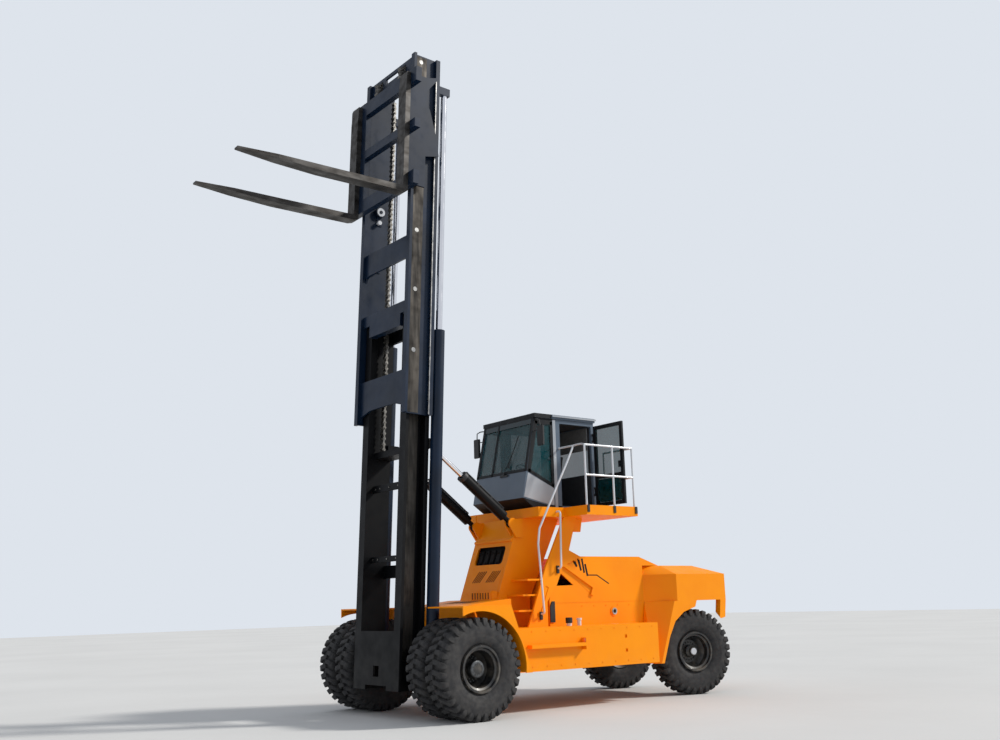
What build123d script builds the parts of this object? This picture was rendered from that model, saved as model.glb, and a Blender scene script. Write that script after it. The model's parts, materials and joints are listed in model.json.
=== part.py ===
from build123d import *
import math
import os

# Heavy forklift truck with a two-stage mast. Lengths are in millimetres.
# Row frame: X forward, Y to the truck's left, Z up from the floor.
# The shapes below are drawn from the front axle's centre line and moved by FRONT_AXLE_X at the end.
# The mast is drawn upright and then leaned about the front axle.

# Tyres and wheels
TYRE_DIAMETER = 1615
TYRE_RADIUS = TYRE_DIAMETER / 2
TYRE_WIDTH = 480
TREAD_WIDTH = 400
BEAD_RADIUS = 325
FLANGE_RADIUS = 385
LUG_DEPTH = 42
LUG_WIDTH = 66
LUG_COUNT = 32
LUG_SLANT = 12
LUG_ROOT = 15
RIM_RADIUS = 315
RIM_WALL = 20
DISC_WALL = 28
DISH_DEPTH = 90
LOCK_RING = 16
OUTER_TYRE_Y = 1740
INNER_TYRE_Y = 1180
FRONT_HUB_RADIUS = 142
FRONT_HUB_END = 120
SPINDLE_RADIUS = 88
SHAFT_GAP = 0.3
SEAT_GAP = 0.3
RUN_GAP = 6

# Front axle, which also carries the mast
AXLE_Z = TYRE_RADIUS
AXLE_TUBE_RADIUS = 170
AXLE_END_Y = 900
DIFF_RADIUS = 290
DIFF_HALF_WIDTH = 330

# Rear steered axle
REAR_AXLE_X = -5770
KINGPIN_Y = 800
REAR_WHEEL_Y = 1170
STEER_AT_REST = -14.7
STEER_LIMIT = 40
BEAM_HALF_LENGTH = 170
BEAM_BOTTOM = 560
BEAM_TOP = 1055
YOKE_THICK = 75
YOKE_RADIUS = 100
KNUCKLE_RADIUS = 90
KINGPIN_RADIUS = 40
REAR_SPINDLE_RADIUS = 60
REAR_HUB_RADIUS = 120
REAR_CAP_RADIUS = 78
TRUNNION_RADIUS = 85
TRUNNION_LENGTH = 130
TRUNNION_PLATE = 60

# Frame
RAIL_INNER_Y = 380
RAIL_OUTER_Y = 480
RAIL_BOTTOM = 850
RAIL_TOP = 1400
RAIL_FRONT = -215
RAIL_REAR = -4600
UPPER_RAIL_BOTTOM = 1680
UPPER_RAIL_REAR = -6250
CROSS_MEMBER_X = (-700, -2300, -3200, -4250)
CROSS_MEMBER_WIDTH = 120

# Front fenders
FENDER_TOP = 1800
FENDER_FRONT = 350
FENDER_CORNER = -620
FENDER_FOOT_X = -1030
FENDER_FOOT_Z = 700
FENDER_WALL = 25
FENDER_INNER_Y = 960
FENDER_OUTER_Y = 1980
FENDER_ARCH_RADIUS = 905
FENDER_SKIRT = 22

# Side boxes beside the frame
SIDE_BOX_TOP = 1400
SIDE_BOX_BOTTOM = 680
SIDE_BOX_REAR = -4350
SIDE_BOX_Y = 1630
BOX_STEP_FRONT = -1220
BOX_STEP_REAR = -2440
BOX_STEP_Z = 1060
BOX_STEP_THICK = 60
BOX_STEP_OUT = 120
BOX_PORTS = ((-3519, 1182), (-3526, 935))
BOX_PORT_SIZE = 55
FILLER_Y = 1300
FILLER_NECKS = ((-2450, 60), (-2690, 50))
FILLER_HEIGHT = 130

# Hood, deck and engine
HOOD_HALF_WIDTH = 1050
HOOD_WALL = 25
HOOD_FRONT = -2220
HOOD_FRONT_KNEE = 1860
HOOD_BROW_X = -2440
HOOD_BROW_Z = 2360
HOOD_SLOT_WIDTH = 40
HOOD_SEAM_Z = 1800
HOOD_CAP = (-3797, 1626)
HOOD_CAP_RADIUS = 90
HOOD_TOP = 2640
HOOD_FRONT_TOP = -2980
HOOD_REAR_TOP = -4520
HOOD_REAR = -4600
HOOD_SLOPE_END_X = -5040
HOOD_SLOPE_END_Z = 2470
DECK_FRONT = -450
DECK_HALF_WIDTH = 940
DECK_FRONT_TOP = 1800
DECK_REAR_TOP = 1900
DECK_WALL = 25
STAIR_FRONT = -1430
TREAD_DEPTH = 360
TREAD_THICK = 32
TREAD_BARS = 4
ENGINE_LENGTH = 1350
ENGINE_HALF_WIDTH = 355
ENGINE_BOTTOM = 1090
ENGINE_HEIGHT = 1150
ENGINE_FRONT = -3050

# Tower that carries the cab and the tilt cylinders
TOWER_HALF_WIDTH = 580
TOWER_WALL = 22
TOWER_FRONT_BOTTOM = -1400
TOWER_FRONT_TOP = -1930
TOWER_REAR_BOTTOM = -2150
TOWER_REAR_TOP = -2900
TOWER_WINDOW_HALF = 430
TOWER_WINDOW = (2530, 2860)
LOUVRE_COUNT = 5
LOUVRE_PITCH = 75
LOUVRE_SLOT = 24
CROSS_TUBE_Z = 2960
CROSS_TUBE_RADIUS = 34
LEG_THICK = 40
CAB_BASE_BOTTOM = 3355
CAB_BASE_TOP = 3530
CAB_BASE_FRONT = -2010
CAB_BASE_HALF_WIDTH = 850
WALKWAY_OUTER_Y = 1720
WALKWAY_FRONT = -2620
RAIL_TUBE_RADIUS = 19
RAIL_EDGE = 40
RAIL_HEIGHT = 1110

# Cab
CAB_HALF_WIDTH = 780
CAB_WALL = 50
CAB_TOP = 5250
CAB_NOSE_BOTTOM_X = -2180
CAB_NOSE_FRONT_X = -1900
CAB_NOSE_Z = 3720
CAB_SILL_X = -2000
CAB_SILL_Z = 4200
CAB_HEADER_X = -2225
CAB_REAR = -3730
CAB_POST_X = -2640
CAB_BASE_REAR = CAB_REAR - 170
CAB_WING_OUTER_Y = 1095
ROOF_THICK = 80
ROOF_OVERHANG = 20
DOOR_FRONT_X = -2850
DOOR_REAR_X = -3660
STEERING_HUB = (-2600, 0, 4330)
COLUMN_FOOT = (-2400, 0, 4060)
DASH_TOP = 4080
DASH_REAR = -2420
SEAT_FRONT = -2850
SEAT_PEDESTAL = 320
SEAT_DEPTH = 500
SEAT_BACK = 630
SEAT_RAKE = 90
SEAT_CUSHION = 120
SEAT_HALF_WIDTH = 250
GLASS_THICK = 10
GLASS_INSET = 12
DOOR_WIDTH = 800
DOOR_THICK = 45
DOOR_BOTTOM = 3600
DOOR_TOP = 5170
DOOR_FRAME = 70
DOOR_HINGE_X = -3695
DOOR_HINGE_Y = 812
DOOR_PIN_RADIUS = 14
DOOR_EYE_RADIUS = 20
DOOR_STANDOFF = 24
DOOR_EYE_HEIGHT = 90
DOOR_EYE_Z = (3850, 4900)

# Counterweight
CW_FRONT_HALF = 1050
CW_HALF_WIDTH = 1500
CW_CHAMFER_X = -5060
CW_SIDE_REAR = -6450
CW_REAR = -6700
CW_REAR_HALF = 850
CW_BOTTOM = 1780
CW_SIDE_TOP = 2290
CW_TOP = 2465
CW_LEG_WIDTH = 440
CW_LEG_INNER = CW_HALF_WIDTH - CW_LEG_WIDTH
CW_SKIRT_WIDTH = 120
TOW_POCKET_HALF = 120
TOW_PIN_RADIUS = 30
WHEEL_SWEEP_GAP = 30

# Mast, upright, measured forward of the axle's centre and up from the floor
MAST_LEAN = 2.48
TILT_BACK_LIMIT = 10
TILT_FORWARD_LIMIT = 5
FIXED_BOTTOM = 425
FIXED_TOP = 7050
FIXED_FRONT = 780
FIXED_REAR = 300
FIXED_INNER_Y = 540
FIXED_OUTER_Y = 735
MOVING_BOTTOM = 5060
MOVING_TOP = 11930
MOVING_FRONT = 900
MOVING_REAR = 325
MOVING_INNER_Y = 760
MOVING_OUTER_Y = 870
WEB = 45
FRONT_FLANGE = 55
REAR_FLANGE = 85
STAGE_TRAVEL = 4480
LIFT_X = 182
LIFT_Y = 800
LIFT_BARREL_RADIUS = 108
LIFT_BORE_RADIUS = 70
LIFT_ROD_RADIUS = 60
GLAND_LENGTH = 90
PISTON_LENGTH = 60
LIFT_BASE = 1130
LIFT_BARREL_TOP = 6640
LIFT_ROD_BOTTOM = 6150
LIFT_ROD_TOP = MOVING_TOP - 670
PIVOT_RING_RADIUS = 265
PIVOT_INNER_Y = 545
PIVOT_OUTER_Y = 705
PIVOT_ARM_Y = 685
TILT_Y = 560
TILT_PIN_X = -1765
TILT_PIN_Z = 3262
TILT_EYE_X = 185
TILT_EYE_Z = 4610
TILT_BARREL_RADIUS = 95
TILT_BORE_RADIUS = 58
TILT_ROD_RADIUS = 45
TILT_BARREL_LENGTH = 1360
TILT_ROD_INSIDE = 560
TILT_END_WALL = 45
TILT_EYE_RADIUS = 75
TILT_EYE_WIDTH = 90
TILT_PIN_RADIUS = 38
CLEVIS_PLATE = 30

# Carriage and forks
FORK_TOP_Z = 9170
FORK_Y = 880
FORK_WIDTH = 250
FORK_THICK = 105
FORK_TIP_THICK = 30
FORK_LENGTH = 3110
FORK_TAPER_LENGTH = 1500
FORK_TIP_WIDTH = 120
CARRIAGE_REAR = 930
CARRIAGE_FRONT = 1050
CARRIAGE_BOTTOM = 9150
CARRIAGE_TOP = 11450
CARRIAGE_HALF_WIDTH = 1180
CARRIAGE_ARM_Y = 880
CARRIAGE_ARM_WALL = 38
CARRIAGE_ROLLER_RADIUS = 95
CHAIN_Y = 420
CHAIN_WIDTH = 100
CHAIN_THICK = 45
PULLEY_RADIUS = 195
PULLEY_X = 735
PULLEY_Z = MOVING_TOP - 290
CHAIN_ANCHOR_Z = 4560
CROSS_PLATE = 40
CROSS_PLATE_FRONT = 840
HEAD_WINDOW_HALF = 250
CHAIN_PITCH = 101.6
CHAIN_WAIST = 14
CARRIAGE_WING_REAR = 345
CARRIAGE_BEAM = 260
CARRIAGE_UPRIGHT_Y = 600


def block(x0, x1, y0, y1, z0, z1):
    """A box between two corners."""
    size = (abs(x1 - x0), abs(y1 - y0), abs(z1 - z0))
    return Pos((x0 + x1) / 2, (y0 + y1) / 2, (z0 + z1) / 2) * Box(*size)


def slab(points, y0, y1):
    """An outline of (x, z) points made as thick as y0 to y1."""
    wire = Wire.make_polygon([Vector(x, y0, z) for x, z in points], close=True)
    return Solid.extrude(Face(wire), Vector(0, y1 - y0, 0))


def floor_plan(points, z0, z1):
    """An outline of (x, y) points made as thick as z0 to z1."""
    wire = Wire.make_polygon([Vector(x, y, z0) for x, y in points], close=True)
    return Solid.extrude(Face(wire), Vector(0, 0, z1 - z0))


def across(points, x0, x1):
    """An outline of (y, z) points made as thick as x0 to x1."""
    wire = Wire.make_polygon([Vector(x0, y, z) for y, z in points], close=True)
    return Solid.extrude(Face(wire), Vector(x1 - x0, 0, 0))


def stroke(start, end, width, y0, y1):
    """A straight band between two (x, z) points, as thick as y0 to y1."""
    dx, dz = end[0] - start[0], end[1] - start[1]
    half = width / 2 / math.hypot(dx, dz)
    ox, oz = -dz * half, dx * half
    corners = [
        (start[0] + ox, start[1] + oz),
        (end[0] + ox, end[1] + oz),
        (end[0] - ox, end[1] - oz),
        (start[0] - ox, start[1] - oz),
    ]
    return slab(corners, y0, y1)


def tube(points, radius, bend):
    """A round tube along a path with its corners bent."""
    path = FilletPolyline(*points, radius=bend)
    section = Plane(origin=path @ 0, z_dir=path % 0) * Circle(radius)
    return sweep(section, path=path)


def bar(start, end, radius):
    """A round bar between two points."""
    a, b = Vector(*start), Vector(*end)
    return Solid.make_cylinder(radius, (b - a).length, Plane(origin=a, z_dir=b - a))


def turned(profile, centre=(0, 0, 0)):
    """A body of revolution about a line along Y, from (radius, y) points, seam at the bottom."""
    wire = Wire.make_polygon([Vector(0, y, -r) for r, y in profile], close=True)
    solid = Solid.revolve(Face(wire), 360, Axis((0, 0, 0), (0, 1, 0)))
    return Pos(*centre) * solid


def mirrored(shape):
    """The same piece on the truck's other side."""
    return mirror(shape, about=Plane.XZ)


def both_sides(shape):
    """The piece and its mirror image, as one node."""
    return Compound([*solids_of(shape), *solids_of(mirrored(shape))])


def solids_of(shape):
    """The separate solids of a shape."""
    return list(shape.solids())


def together(*shapes):
    """Several solids that don't touch, in one node."""
    found = []
    for shape in shapes:
        found += solids_of(shape)
    return Compound(found)


def lean(shape):
    """Lean a mast piece back about the front axle."""
    return Pos(0, 0, AXLE_Z) * Rot(0, -MAST_LEAN, 0) * Pos(0, 0, -AXLE_Z) * shape


def leaned_point(x, z):
    """Where a point of the upright mast lies once the mast leans back."""
    angle = math.radians(-MAST_LEAN)
    rise = z - AXLE_Z
    return (
        x * math.cos(angle) + rise * math.sin(angle),
        AXLE_Z - x * math.sin(angle) + rise * math.cos(angle),
    )


# The fork blade is level at rest, so it is turned back by the mast's lean
FORK_HEEL_X = CARRIAGE_FRONT + SEAT_GAP
FORK_SHANK_THICK = 100


def fork_height():
    """Height on the upright mast of the fork's top face at its heel."""
    heel_x = FORK_HEEL_X + FORK_SHANK_THICK
    angle = math.radians(MAST_LEAN)
    return AXLE_Z + (FORK_TOP_Z - AXLE_Z - heel_x * math.sin(angle)) / math.cos(angle)


FORK_TOP_LOCAL = fork_height()
FORK_TIP_X = leaned_point(FORK_HEEL_X + FORK_SHANK_THICK, FORK_TOP_LOCAL)[0] + FORK_LENGTH
FRONT_AXLE_X = -(FORK_TIP_X + CW_REAR) / 2

nodes = {}


def keep(name, shape):
    """Put a finished piece in the row's frame."""
    nodes[name] = Pos(FRONT_AXLE_X, 0, 0) * shape


def tyre_lug():
    """One lug at the tyre's lowest point: from the tread's middle out over the left shoulder."""
    half = TYRE_WIDTH / 2
    tread = TREAD_WIDTH / 2
    casing = TYRE_RADIUS - LUG_DEPTH
    reach = lug_reach()
    top = math.sqrt(TYRE_RADIUS**2 - reach**2)
    profile = [
        (6, casing - LUG_ROOT),
        (6, top),
        (tread, top),
        (half * 0.96, TYRE_RADIUS * 0.905),
        (half * 0.98, TYRE_RADIUS * 0.83),
        (half * 0.90, TYRE_RADIUS * 0.83),
        (tread - LUG_ROOT, casing - LUG_ROOT),
    ]
    lug = across([(y, -r) for y, r in profile], -LUG_WIDTH / 2, LUG_WIDTH / 2)
    turn = math.degrees(math.asin(reach / TYRE_RADIUS))
    return Rot(0, turn, 0) * Rot(0, 0, -LUG_SLANT) * lug


def lug_reach():
    """How far round the tyre a lug's furthest corner lies from the lug's middle."""
    angle = math.radians(LUG_SLANT)
    return TREAD_WIDTH / 2 * math.sin(angle) + LUG_WIDTH / 2 * math.cos(angle)


def tyre():
    """One tyre about its own centre: the casing and two rings of lugs, half a pitch apart."""
    half = TYRE_WIDTH / 2
    tread = TREAD_WIDTH / 2
    casing = TYRE_RADIUS - LUG_DEPTH
    profile = [
        (BEAD_RADIUS, -half * 0.62),
        (FLANGE_RADIUS + 12, -half * 0.80),
        (TYRE_RADIUS * 0.68, -half),
        (TYRE_RADIUS * 0.85, -half),
        (casing, -tread),
        (casing, tread),
        (TYRE_RADIUS * 0.85, half),
        (TYRE_RADIUS * 0.68, half),
        (FLANGE_RADIUS + 12, half * 0.80),
        (BEAD_RADIUS, half * 0.62),
    ]
    lug = tyre_lug()
    other = mirrored(lug)
    pitch = 360 / LUG_COUNT
    lugs = []
    for step in range(LUG_COUNT):
        lugs.append(Rot(0, pitch * step, 0) * lug)
        lugs.append(Rot(0, pitch * (step + 0.5), 0) * other)
    return turned(profile).fuse(*lugs)


def rim(disc_y, outward):
    """A rim about its tyre's centre: its barrel and flanges, a dished disc and a lock ring."""
    bead = TYRE_WIDTH / 2 * 0.62
    lip = TYRE_WIDTH / 2 * 0.80
    ring = [
        (RIM_RADIUS - RIM_WALL, -bead - RIM_WALL),
        (RIM_RADIUS - RIM_WALL, bead + RIM_WALL),
        (FLANGE_RADIUS, lip + RIM_WALL),
        (FLANGE_RADIUS, lip),
        (BEAD_RADIUS, bead),
        (BEAD_RADIUS, -bead),
        (FLANGE_RADIUS, -lip),
        (FLANGE_RADIUS, -lip - RIM_WALL),
    ]
    dish = disc_y + outward * DISH_DEPTH
    disc = [
        (FRONT_HUB_RADIUS - 30, disc_y),
        (FRONT_HUB_RADIUS - 30, disc_y + DISC_WALL),
        (FRONT_HUB_RADIUS + 75, disc_y + DISC_WALL),
        (RIM_RADIUS - 10, dish + DISC_WALL),
        (RIM_RADIUS - 10, dish),
        (FRONT_HUB_RADIUS + 75, disc_y),
    ]
    lock = [
        (FLANGE_RADIUS - 14, outward * (lip + RIM_WALL - 6)),
        (FLANGE_RADIUS - 14, outward * (lip + RIM_WALL + LOCK_RING)),
        (FLANGE_RADIUS - 14 - 2 * LOCK_RING, outward * (lip + RIM_WALL + LOCK_RING)),
        (FLANGE_RADIUS - 14 - 3 * LOCK_RING, outward * (lip - RIM_WALL)),
    ]
    return turned(ring) + turned(disc) + turned(lock)


def front_wheel():
    """The left pair of front wheels: tyres, and rims on their shared hub."""
    single = tyre()
    tyres = together(Pos(0, OUTER_TYRE_Y, AXLE_Z) * single, Pos(0, INNER_TYRE_Y, AXLE_Z) * single)
    outer = Pos(0, OUTER_TYRE_Y, AXLE_Z) * rim(-150, 1)
    inner = Pos(0, INNER_TYRE_Y, AXLE_Z) * rim(90, -1)
    hub = turned(
        [
            (0, AXLE_END_Y + 160),
            (SPINDLE_RADIUS + SHAFT_GAP, AXLE_END_Y + 160),
            (SPINDLE_RADIUS + SHAFT_GAP, AXLE_END_Y + RUN_GAP),
            (240, AXLE_END_Y + RUN_GAP),
            (240, INNER_TYRE_Y + 60),
            (FRONT_HUB_RADIUS + 40, OUTER_TYRE_Y - 120),
            (FRONT_HUB_RADIUS + 40, OUTER_TYRE_Y - 60),
            (FRONT_HUB_RADIUS, OUTER_TYRE_Y - 30),
            (FRONT_HUB_RADIUS, OUTER_TYRE_Y + FRONT_HUB_END - 70),
            (FRONT_HUB_RADIUS - 12, OUTER_TYRE_Y + FRONT_HUB_END - 45),
            (FRONT_HUB_RADIUS - 40, OUTER_TYRE_Y + FRONT_HUB_END - 25),
            (FRONT_HUB_RADIUS - 40, OUTER_TYRE_Y + FRONT_HUB_END),
            (0, OUTER_TYRE_Y + FRONT_HUB_END),
        ],
        (0, 0, AXLE_Z),
    )
    return single, tyres, outer + inner + hub


def drive_axle():
    """The front axle's housing, with the differential in its middle."""
    return turned(
        [
            (0, -AXLE_END_Y - 150),
            (SPINDLE_RADIUS, -AXLE_END_Y - 150),
            (SPINDLE_RADIUS, -AXLE_END_Y),
            (AXLE_TUBE_RADIUS, -AXLE_END_Y),
            (AXLE_TUBE_RADIUS, -DIFF_HALF_WIDTH),
            (DIFF_RADIUS, -120),
            (DIFF_RADIUS, 120),
            (AXLE_TUBE_RADIUS, DIFF_HALF_WIDTH),
            (AXLE_TUBE_RADIUS, AXLE_END_Y),
            (SPINDLE_RADIUS, AXLE_END_Y),
            (SPINDLE_RADIUS, AXLE_END_Y + 150),
            (0, AXLE_END_Y + 150),
        ],
        (0, 0, AXLE_Z),
    )


def rear_beam():
    """The rear axle's beam, with yokes for the kingpins and trunnions to oscillate on."""
    x, y, z = REAR_AXLE_X, KINGPIN_Y, AXLE_Z
    box_end = KINGPIN_Y - KNUCKLE_RADIUS - RUN_GAP
    beam = block(x - BEAM_HALF_LENGTH, x + BEAM_HALF_LENGTH, -box_end + 90, box_end - 90, BEAM_BOTTOM, BEAM_TOP)
    for side in (-1, 1):
        for low in (BEAM_BOTTOM, BEAM_TOP - YOKE_THICK):
            arm = block(x - YOKE_RADIUS, x + YOKE_RADIUS, side * (box_end - 100), side * y, low, low + YOKE_THICK)
            eye = bar((x, side * y, low), (x, side * y, low + YOKE_THICK), YOKE_RADIUS)
            hole = bar((x, side * y, low - 1), (x, side * y, low + YOKE_THICK + 1), KINGPIN_RADIUS + SHAFT_GAP)
            beam = beam + arm + eye - hole
    for way in (-1, 1):
        start = (x + way * (BEAM_HALF_LENGTH - 20), 0, z)
        end = (x + way * (BEAM_HALF_LENGTH + TRUNNION_LENGTH), 0, z)
        beam = beam + bar(start, end, TRUNNION_RADIUS)
    return beam


def knuckle():
    """The left steering knuckle, straight ahead: kingpin, block and wheel spindle."""
    x, y, z = REAR_AXLE_X, KINGPIN_Y, AXLE_Z
    low = BEAM_BOTTOM + YOKE_THICK + SEAT_GAP
    high = BEAM_TOP - YOKE_THICK - RUN_GAP
    body = bar((x, y, low), (x, y, high), KNUCKLE_RADIUS)
    pin = bar((x, y, BEAM_BOTTOM - 10), (x, y, BEAM_TOP + 10), KINGPIN_RADIUS)
    spindle = bar((x, y, z), (x, REAR_WHEEL_Y + 60, z), REAR_SPINDLE_RADIUS)
    collar = bar((x, y, z), (x, y + KNUCKLE_RADIUS + 12, z), REAR_SPINDLE_RADIUS + 25)
    return body + pin + spindle + collar


def rear_wheel(single):
    """The left rear wheel, straight ahead: a tyre as in front, and the rim with its hub."""
    centre = (REAR_AXLE_X, REAR_WHEEL_Y, AXLE_Z)
    hub_start = KINGPIN_Y + KNUCKLE_RADIUS + 12 + SEAT_GAP
    hub = turned(
        [
            (REAR_SPINDLE_RADIUS + SHAFT_GAP, hub_start),
            (REAR_HUB_RADIUS, hub_start),
            (REAR_HUB_RADIUS, REAR_WHEEL_Y + 60),
            (REAR_CAP_RADIUS, REAR_WHEEL_Y + 90),
            (REAR_CAP_RADIUS, REAR_WHEEL_Y + 150),
            (0, REAR_WHEEL_Y + 150),
            (0, REAR_WHEEL_Y + 75),
            (REAR_SPINDLE_RADIUS + SHAFT_GAP, REAR_WHEEL_Y + 75),
        ],
        (REAR_AXLE_X, 0, AXLE_Z),
    )
    return Pos(*centre) * single, Pos(*centre) * rim(-60, 1) + hub


def steered(shape, side):
    """Turn a rear wheel piece about its kingpin to where the truck stands."""
    x, y = REAR_AXLE_X, side * KINGPIN_Y
    return Pos(x, y, 0) * Rot(0, 0, STEER_AT_REST) * Pos(-x, -y, 0) * shape


def frame_rail():
    """The left frame rail, which rises over the rear axle."""
    outline = [
        (RAIL_FRONT, RAIL_BOTTOM - 250),
        (RAIL_FRONT, RAIL_TOP - 350),
        (RAIL_FRONT - 250, RAIL_TOP),
        (RAIL_REAR + 400, RAIL_TOP),
        (RAIL_REAR + 100, CW_BOTTOM),
        (UPPER_RAIL_REAR, CW_BOTTOM),
        (UPPER_RAIL_REAR, UPPER_RAIL_BOTTOM),
        (RAIL_REAR - 330, UPPER_RAIL_BOTTOM),
        (RAIL_REAR, RAIL_TOP - 150),
        (RAIL_REAR, RAIL_BOTTOM),
        (RAIL_FRONT - 500, RAIL_BOTTOM),
        (RAIL_FRONT - 350, RAIL_BOTTOM - 250),
    ]
    return slab(outline, RAIL_INNER_Y, RAIL_OUTER_Y)


def chassis_frame():
    """Two deep rails with saddles round the front axle and the rear axle's trunnion brackets."""
    rail = frame_rail()
    saddle = bar((0, RAIL_INNER_Y, AXLE_Z), (0, RAIL_OUTER_Y, AXLE_Z), AXLE_TUBE_RADIUS + 60)
    bore = bar((0, RAIL_INNER_Y - 1, AXLE_Z), (0, RAIL_OUTER_Y + 1, AXLE_Z), AXLE_TUBE_RADIUS)
    rail = rail + saddle - bore
    frame = rail + mirrored(rail)
    for x in CROSS_MEMBER_X:
        frame = frame + block(
            x - CROSS_MEMBER_WIDTH, x, -RAIL_INNER_Y, RAIL_INNER_Y, ENGINE_BOTTOM - 180, ENGINE_BOTTOM
        )
    face = BEAM_HALF_LENGTH + 40
    for way in (-1, 1):
        x0 = REAR_AXLE_X + way * face
        x1 = REAR_AXLE_X + way * (face + TRUNNION_PLATE)
        plate = block(x0, x1, -RAIL_INNER_Y, RAIL_INNER_Y, UPPER_RAIL_BOTTOM, CW_BOTTOM)
        plate = plate + block(x0, x1, -190, 190, AXLE_Z, UPPER_RAIL_BOTTOM)
        plate = plate + bar((x0, 0, AXLE_Z), (x1, 0, AXLE_Z), 190)
        plate = plate - bar((x0 - way, 0, AXLE_Z), (x1 + way, 0, AXLE_Z), TRUNNION_RADIUS)
        frame = frame + plate
    return frame


def fender_slope_x(z):
    """Where the rear face of a front fender is at a height."""
    share = (FENDER_TOP - z) / (FENDER_TOP - FENDER_FOOT_Z)
    return FENDER_CORNER + (FENDER_FOOT_X - FENDER_CORNER) * share


def fender():
    """The left front fender: a folded plate with an arched side skirt."""
    inner_corner_x = FENDER_CORNER + FENDER_WALL * 0.7
    plate = slab(
        [
            (FENDER_FRONT, FENDER_TOP),
            (FENDER_CORNER, FENDER_TOP),
            (FENDER_FOOT_X, FENDER_FOOT_Z),
            (FENDER_FOOT_X + FENDER_WALL * 1.07, FENDER_FOOT_Z),
            (inner_corner_x, FENDER_TOP - FENDER_WALL),
            (FENDER_FRONT, FENDER_TOP - FENDER_WALL),
        ],
        FENDER_INNER_Y,
        FENDER_OUTER_Y,
    )
    skirt = slab(
        [
            (FENDER_FRONT, FENDER_TOP),
            (FENDER_CORNER, FENDER_TOP),
            (FENDER_FOOT_X, FENDER_FOOT_Z),
            (FENDER_FRONT, FENDER_FOOT_Z),
        ],
        FENDER_OUTER_Y - FENDER_SKIRT,
        FENDER_OUTER_Y,
    )
    arch = bar((0, FENDER_OUTER_Y - 100, AXLE_Z), (0, FENDER_OUTER_Y + 10, AXLE_Z), FENDER_ARCH_RADIUS)
    return plate + (skirt - arch)


def side_box():
    """The left tank box beside the frame, with its step plate and two ports."""
    outline = [
        (fender_slope_x(FENDER_FOOT_Z), FENDER_FOOT_Z),
        (fender_slope_x(SIDE_BOX_TOP), SIDE_BOX_TOP),
        (SIDE_BOX_REAR, SIDE_BOX_TOP),
        (SIDE_BOX_REAR, SIDE_BOX_BOTTOM),
        (fender_slope_x(FENDER_FOOT_Z) - 8, SIDE_BOX_BOTTOM),
    ]
    box = slab(outline, RAIL_OUTER_Y, SIDE_BOX_Y)
    step_y = SIDE_BOX_Y + BOX_STEP_OUT
    box = box + block(
        BOX_STEP_REAR, BOX_STEP_FRONT, SIDE_BOX_Y, step_y, BOX_STEP_Z, BOX_STEP_Z + BOX_STEP_THICK
    )
    box = box + slab(
        [
            (BOX_STEP_REAR - 20, BOX_STEP_Z - 60),
            (BOX_STEP_REAR, BOX_STEP_Z - 60),
            (BOX_STEP_REAR, BOX_STEP_Z + 140),
            (BOX_STEP_REAR - 20, BOX_STEP_Z + 140),
        ],
        SIDE_BOX_Y,
        step_y,
    )
    half = BOX_PORT_SIZE / 2
    for x, z in BOX_PORTS:
        box = box - block(x - half, x + half, SIDE_BOX_Y - 30, SIDE_BOX_Y + 1, z - half, z + half)
    return box


def filler_necks():
    """The two filler necks on top of the left box."""
    necks = []
    for x, radius in FILLER_NECKS:
        low, high = SIDE_BOX_TOP, SIDE_BOX_TOP + FILLER_HEIGHT
        neck = bar((x, FILLER_Y, low), (x, FILLER_Y, high - 35), radius - 12)
        necks.append(neck + bar((x, FILLER_Y, high - 35), (x, FILLER_Y, high), radius))
    return together(*necks)


def shell(outline, inner, half, wall):
    """A housing of sheet: an outline across the truck, hollow inside."""
    return slab(outline, -half, half) - slab(inner, -half + wall, half - wall)


# Hood side, as (x, z) points: slanted slots, the raised panel's groove, its crease and the hole
HOOD_SLOTS = (
    ((-2800, 2690), (-2907, 2451)),
    ((-2940, 2665), (-3007, 2390)),
    ((-3040, 2604), (-3087, 2344)),
    ((-3117, 2497), (-3166, 2282)),
)
HOOD_GROOVE = ((-2567, 2496), (-3254, 1961), (-3303, 2082))
HOOD_CREASE = ((-3170, 2297), (-3401, 2295), (-3689, 2139))
HOOD_HOLE = ((-2367, 2109), (-2518, 2331), (-2809, 2118))


def hood_side_marks():
    """What is cut into the hood's left side."""
    y1 = HOOD_HALF_WIDTH + 1
    cuts = [slab(HOOD_HOLE, HOOD_HALF_WIDTH - 2 * HOOD_WALL, y1)]
    for start, end in HOOD_SLOTS:
        low_start = (start[0], min(start[1], HOOD_TOP - HOOD_SLOT_WIDTH))
        cuts.append(stroke(low_start, end, HOOD_SLOT_WIDTH, HOOD_HALF_WIDTH - 2 * HOOD_WALL, y1))
    for start, end in zip(HOOD_GROOVE, HOOD_GROOVE[1:]):
        cuts.append(stroke(start, end, HOOD_SLOT_WIDTH, HOOD_HALF_WIDTH - 12, y1))
    for start, end in zip(HOOD_CREASE, HOOD_CREASE[1:]):
        cuts.append(stroke(start, end, 12, HOOD_HALF_WIDTH - 6, y1))
    seam_ends = ((HOOD_FRONT - 80, HOOD_SEAM_Z), (HOOD_REAR + 50, HOOD_SEAM_Z))
    cuts.append(stroke(*seam_ends, 10, HOOD_HALF_WIDTH - 6, y1))
    return cuts


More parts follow.
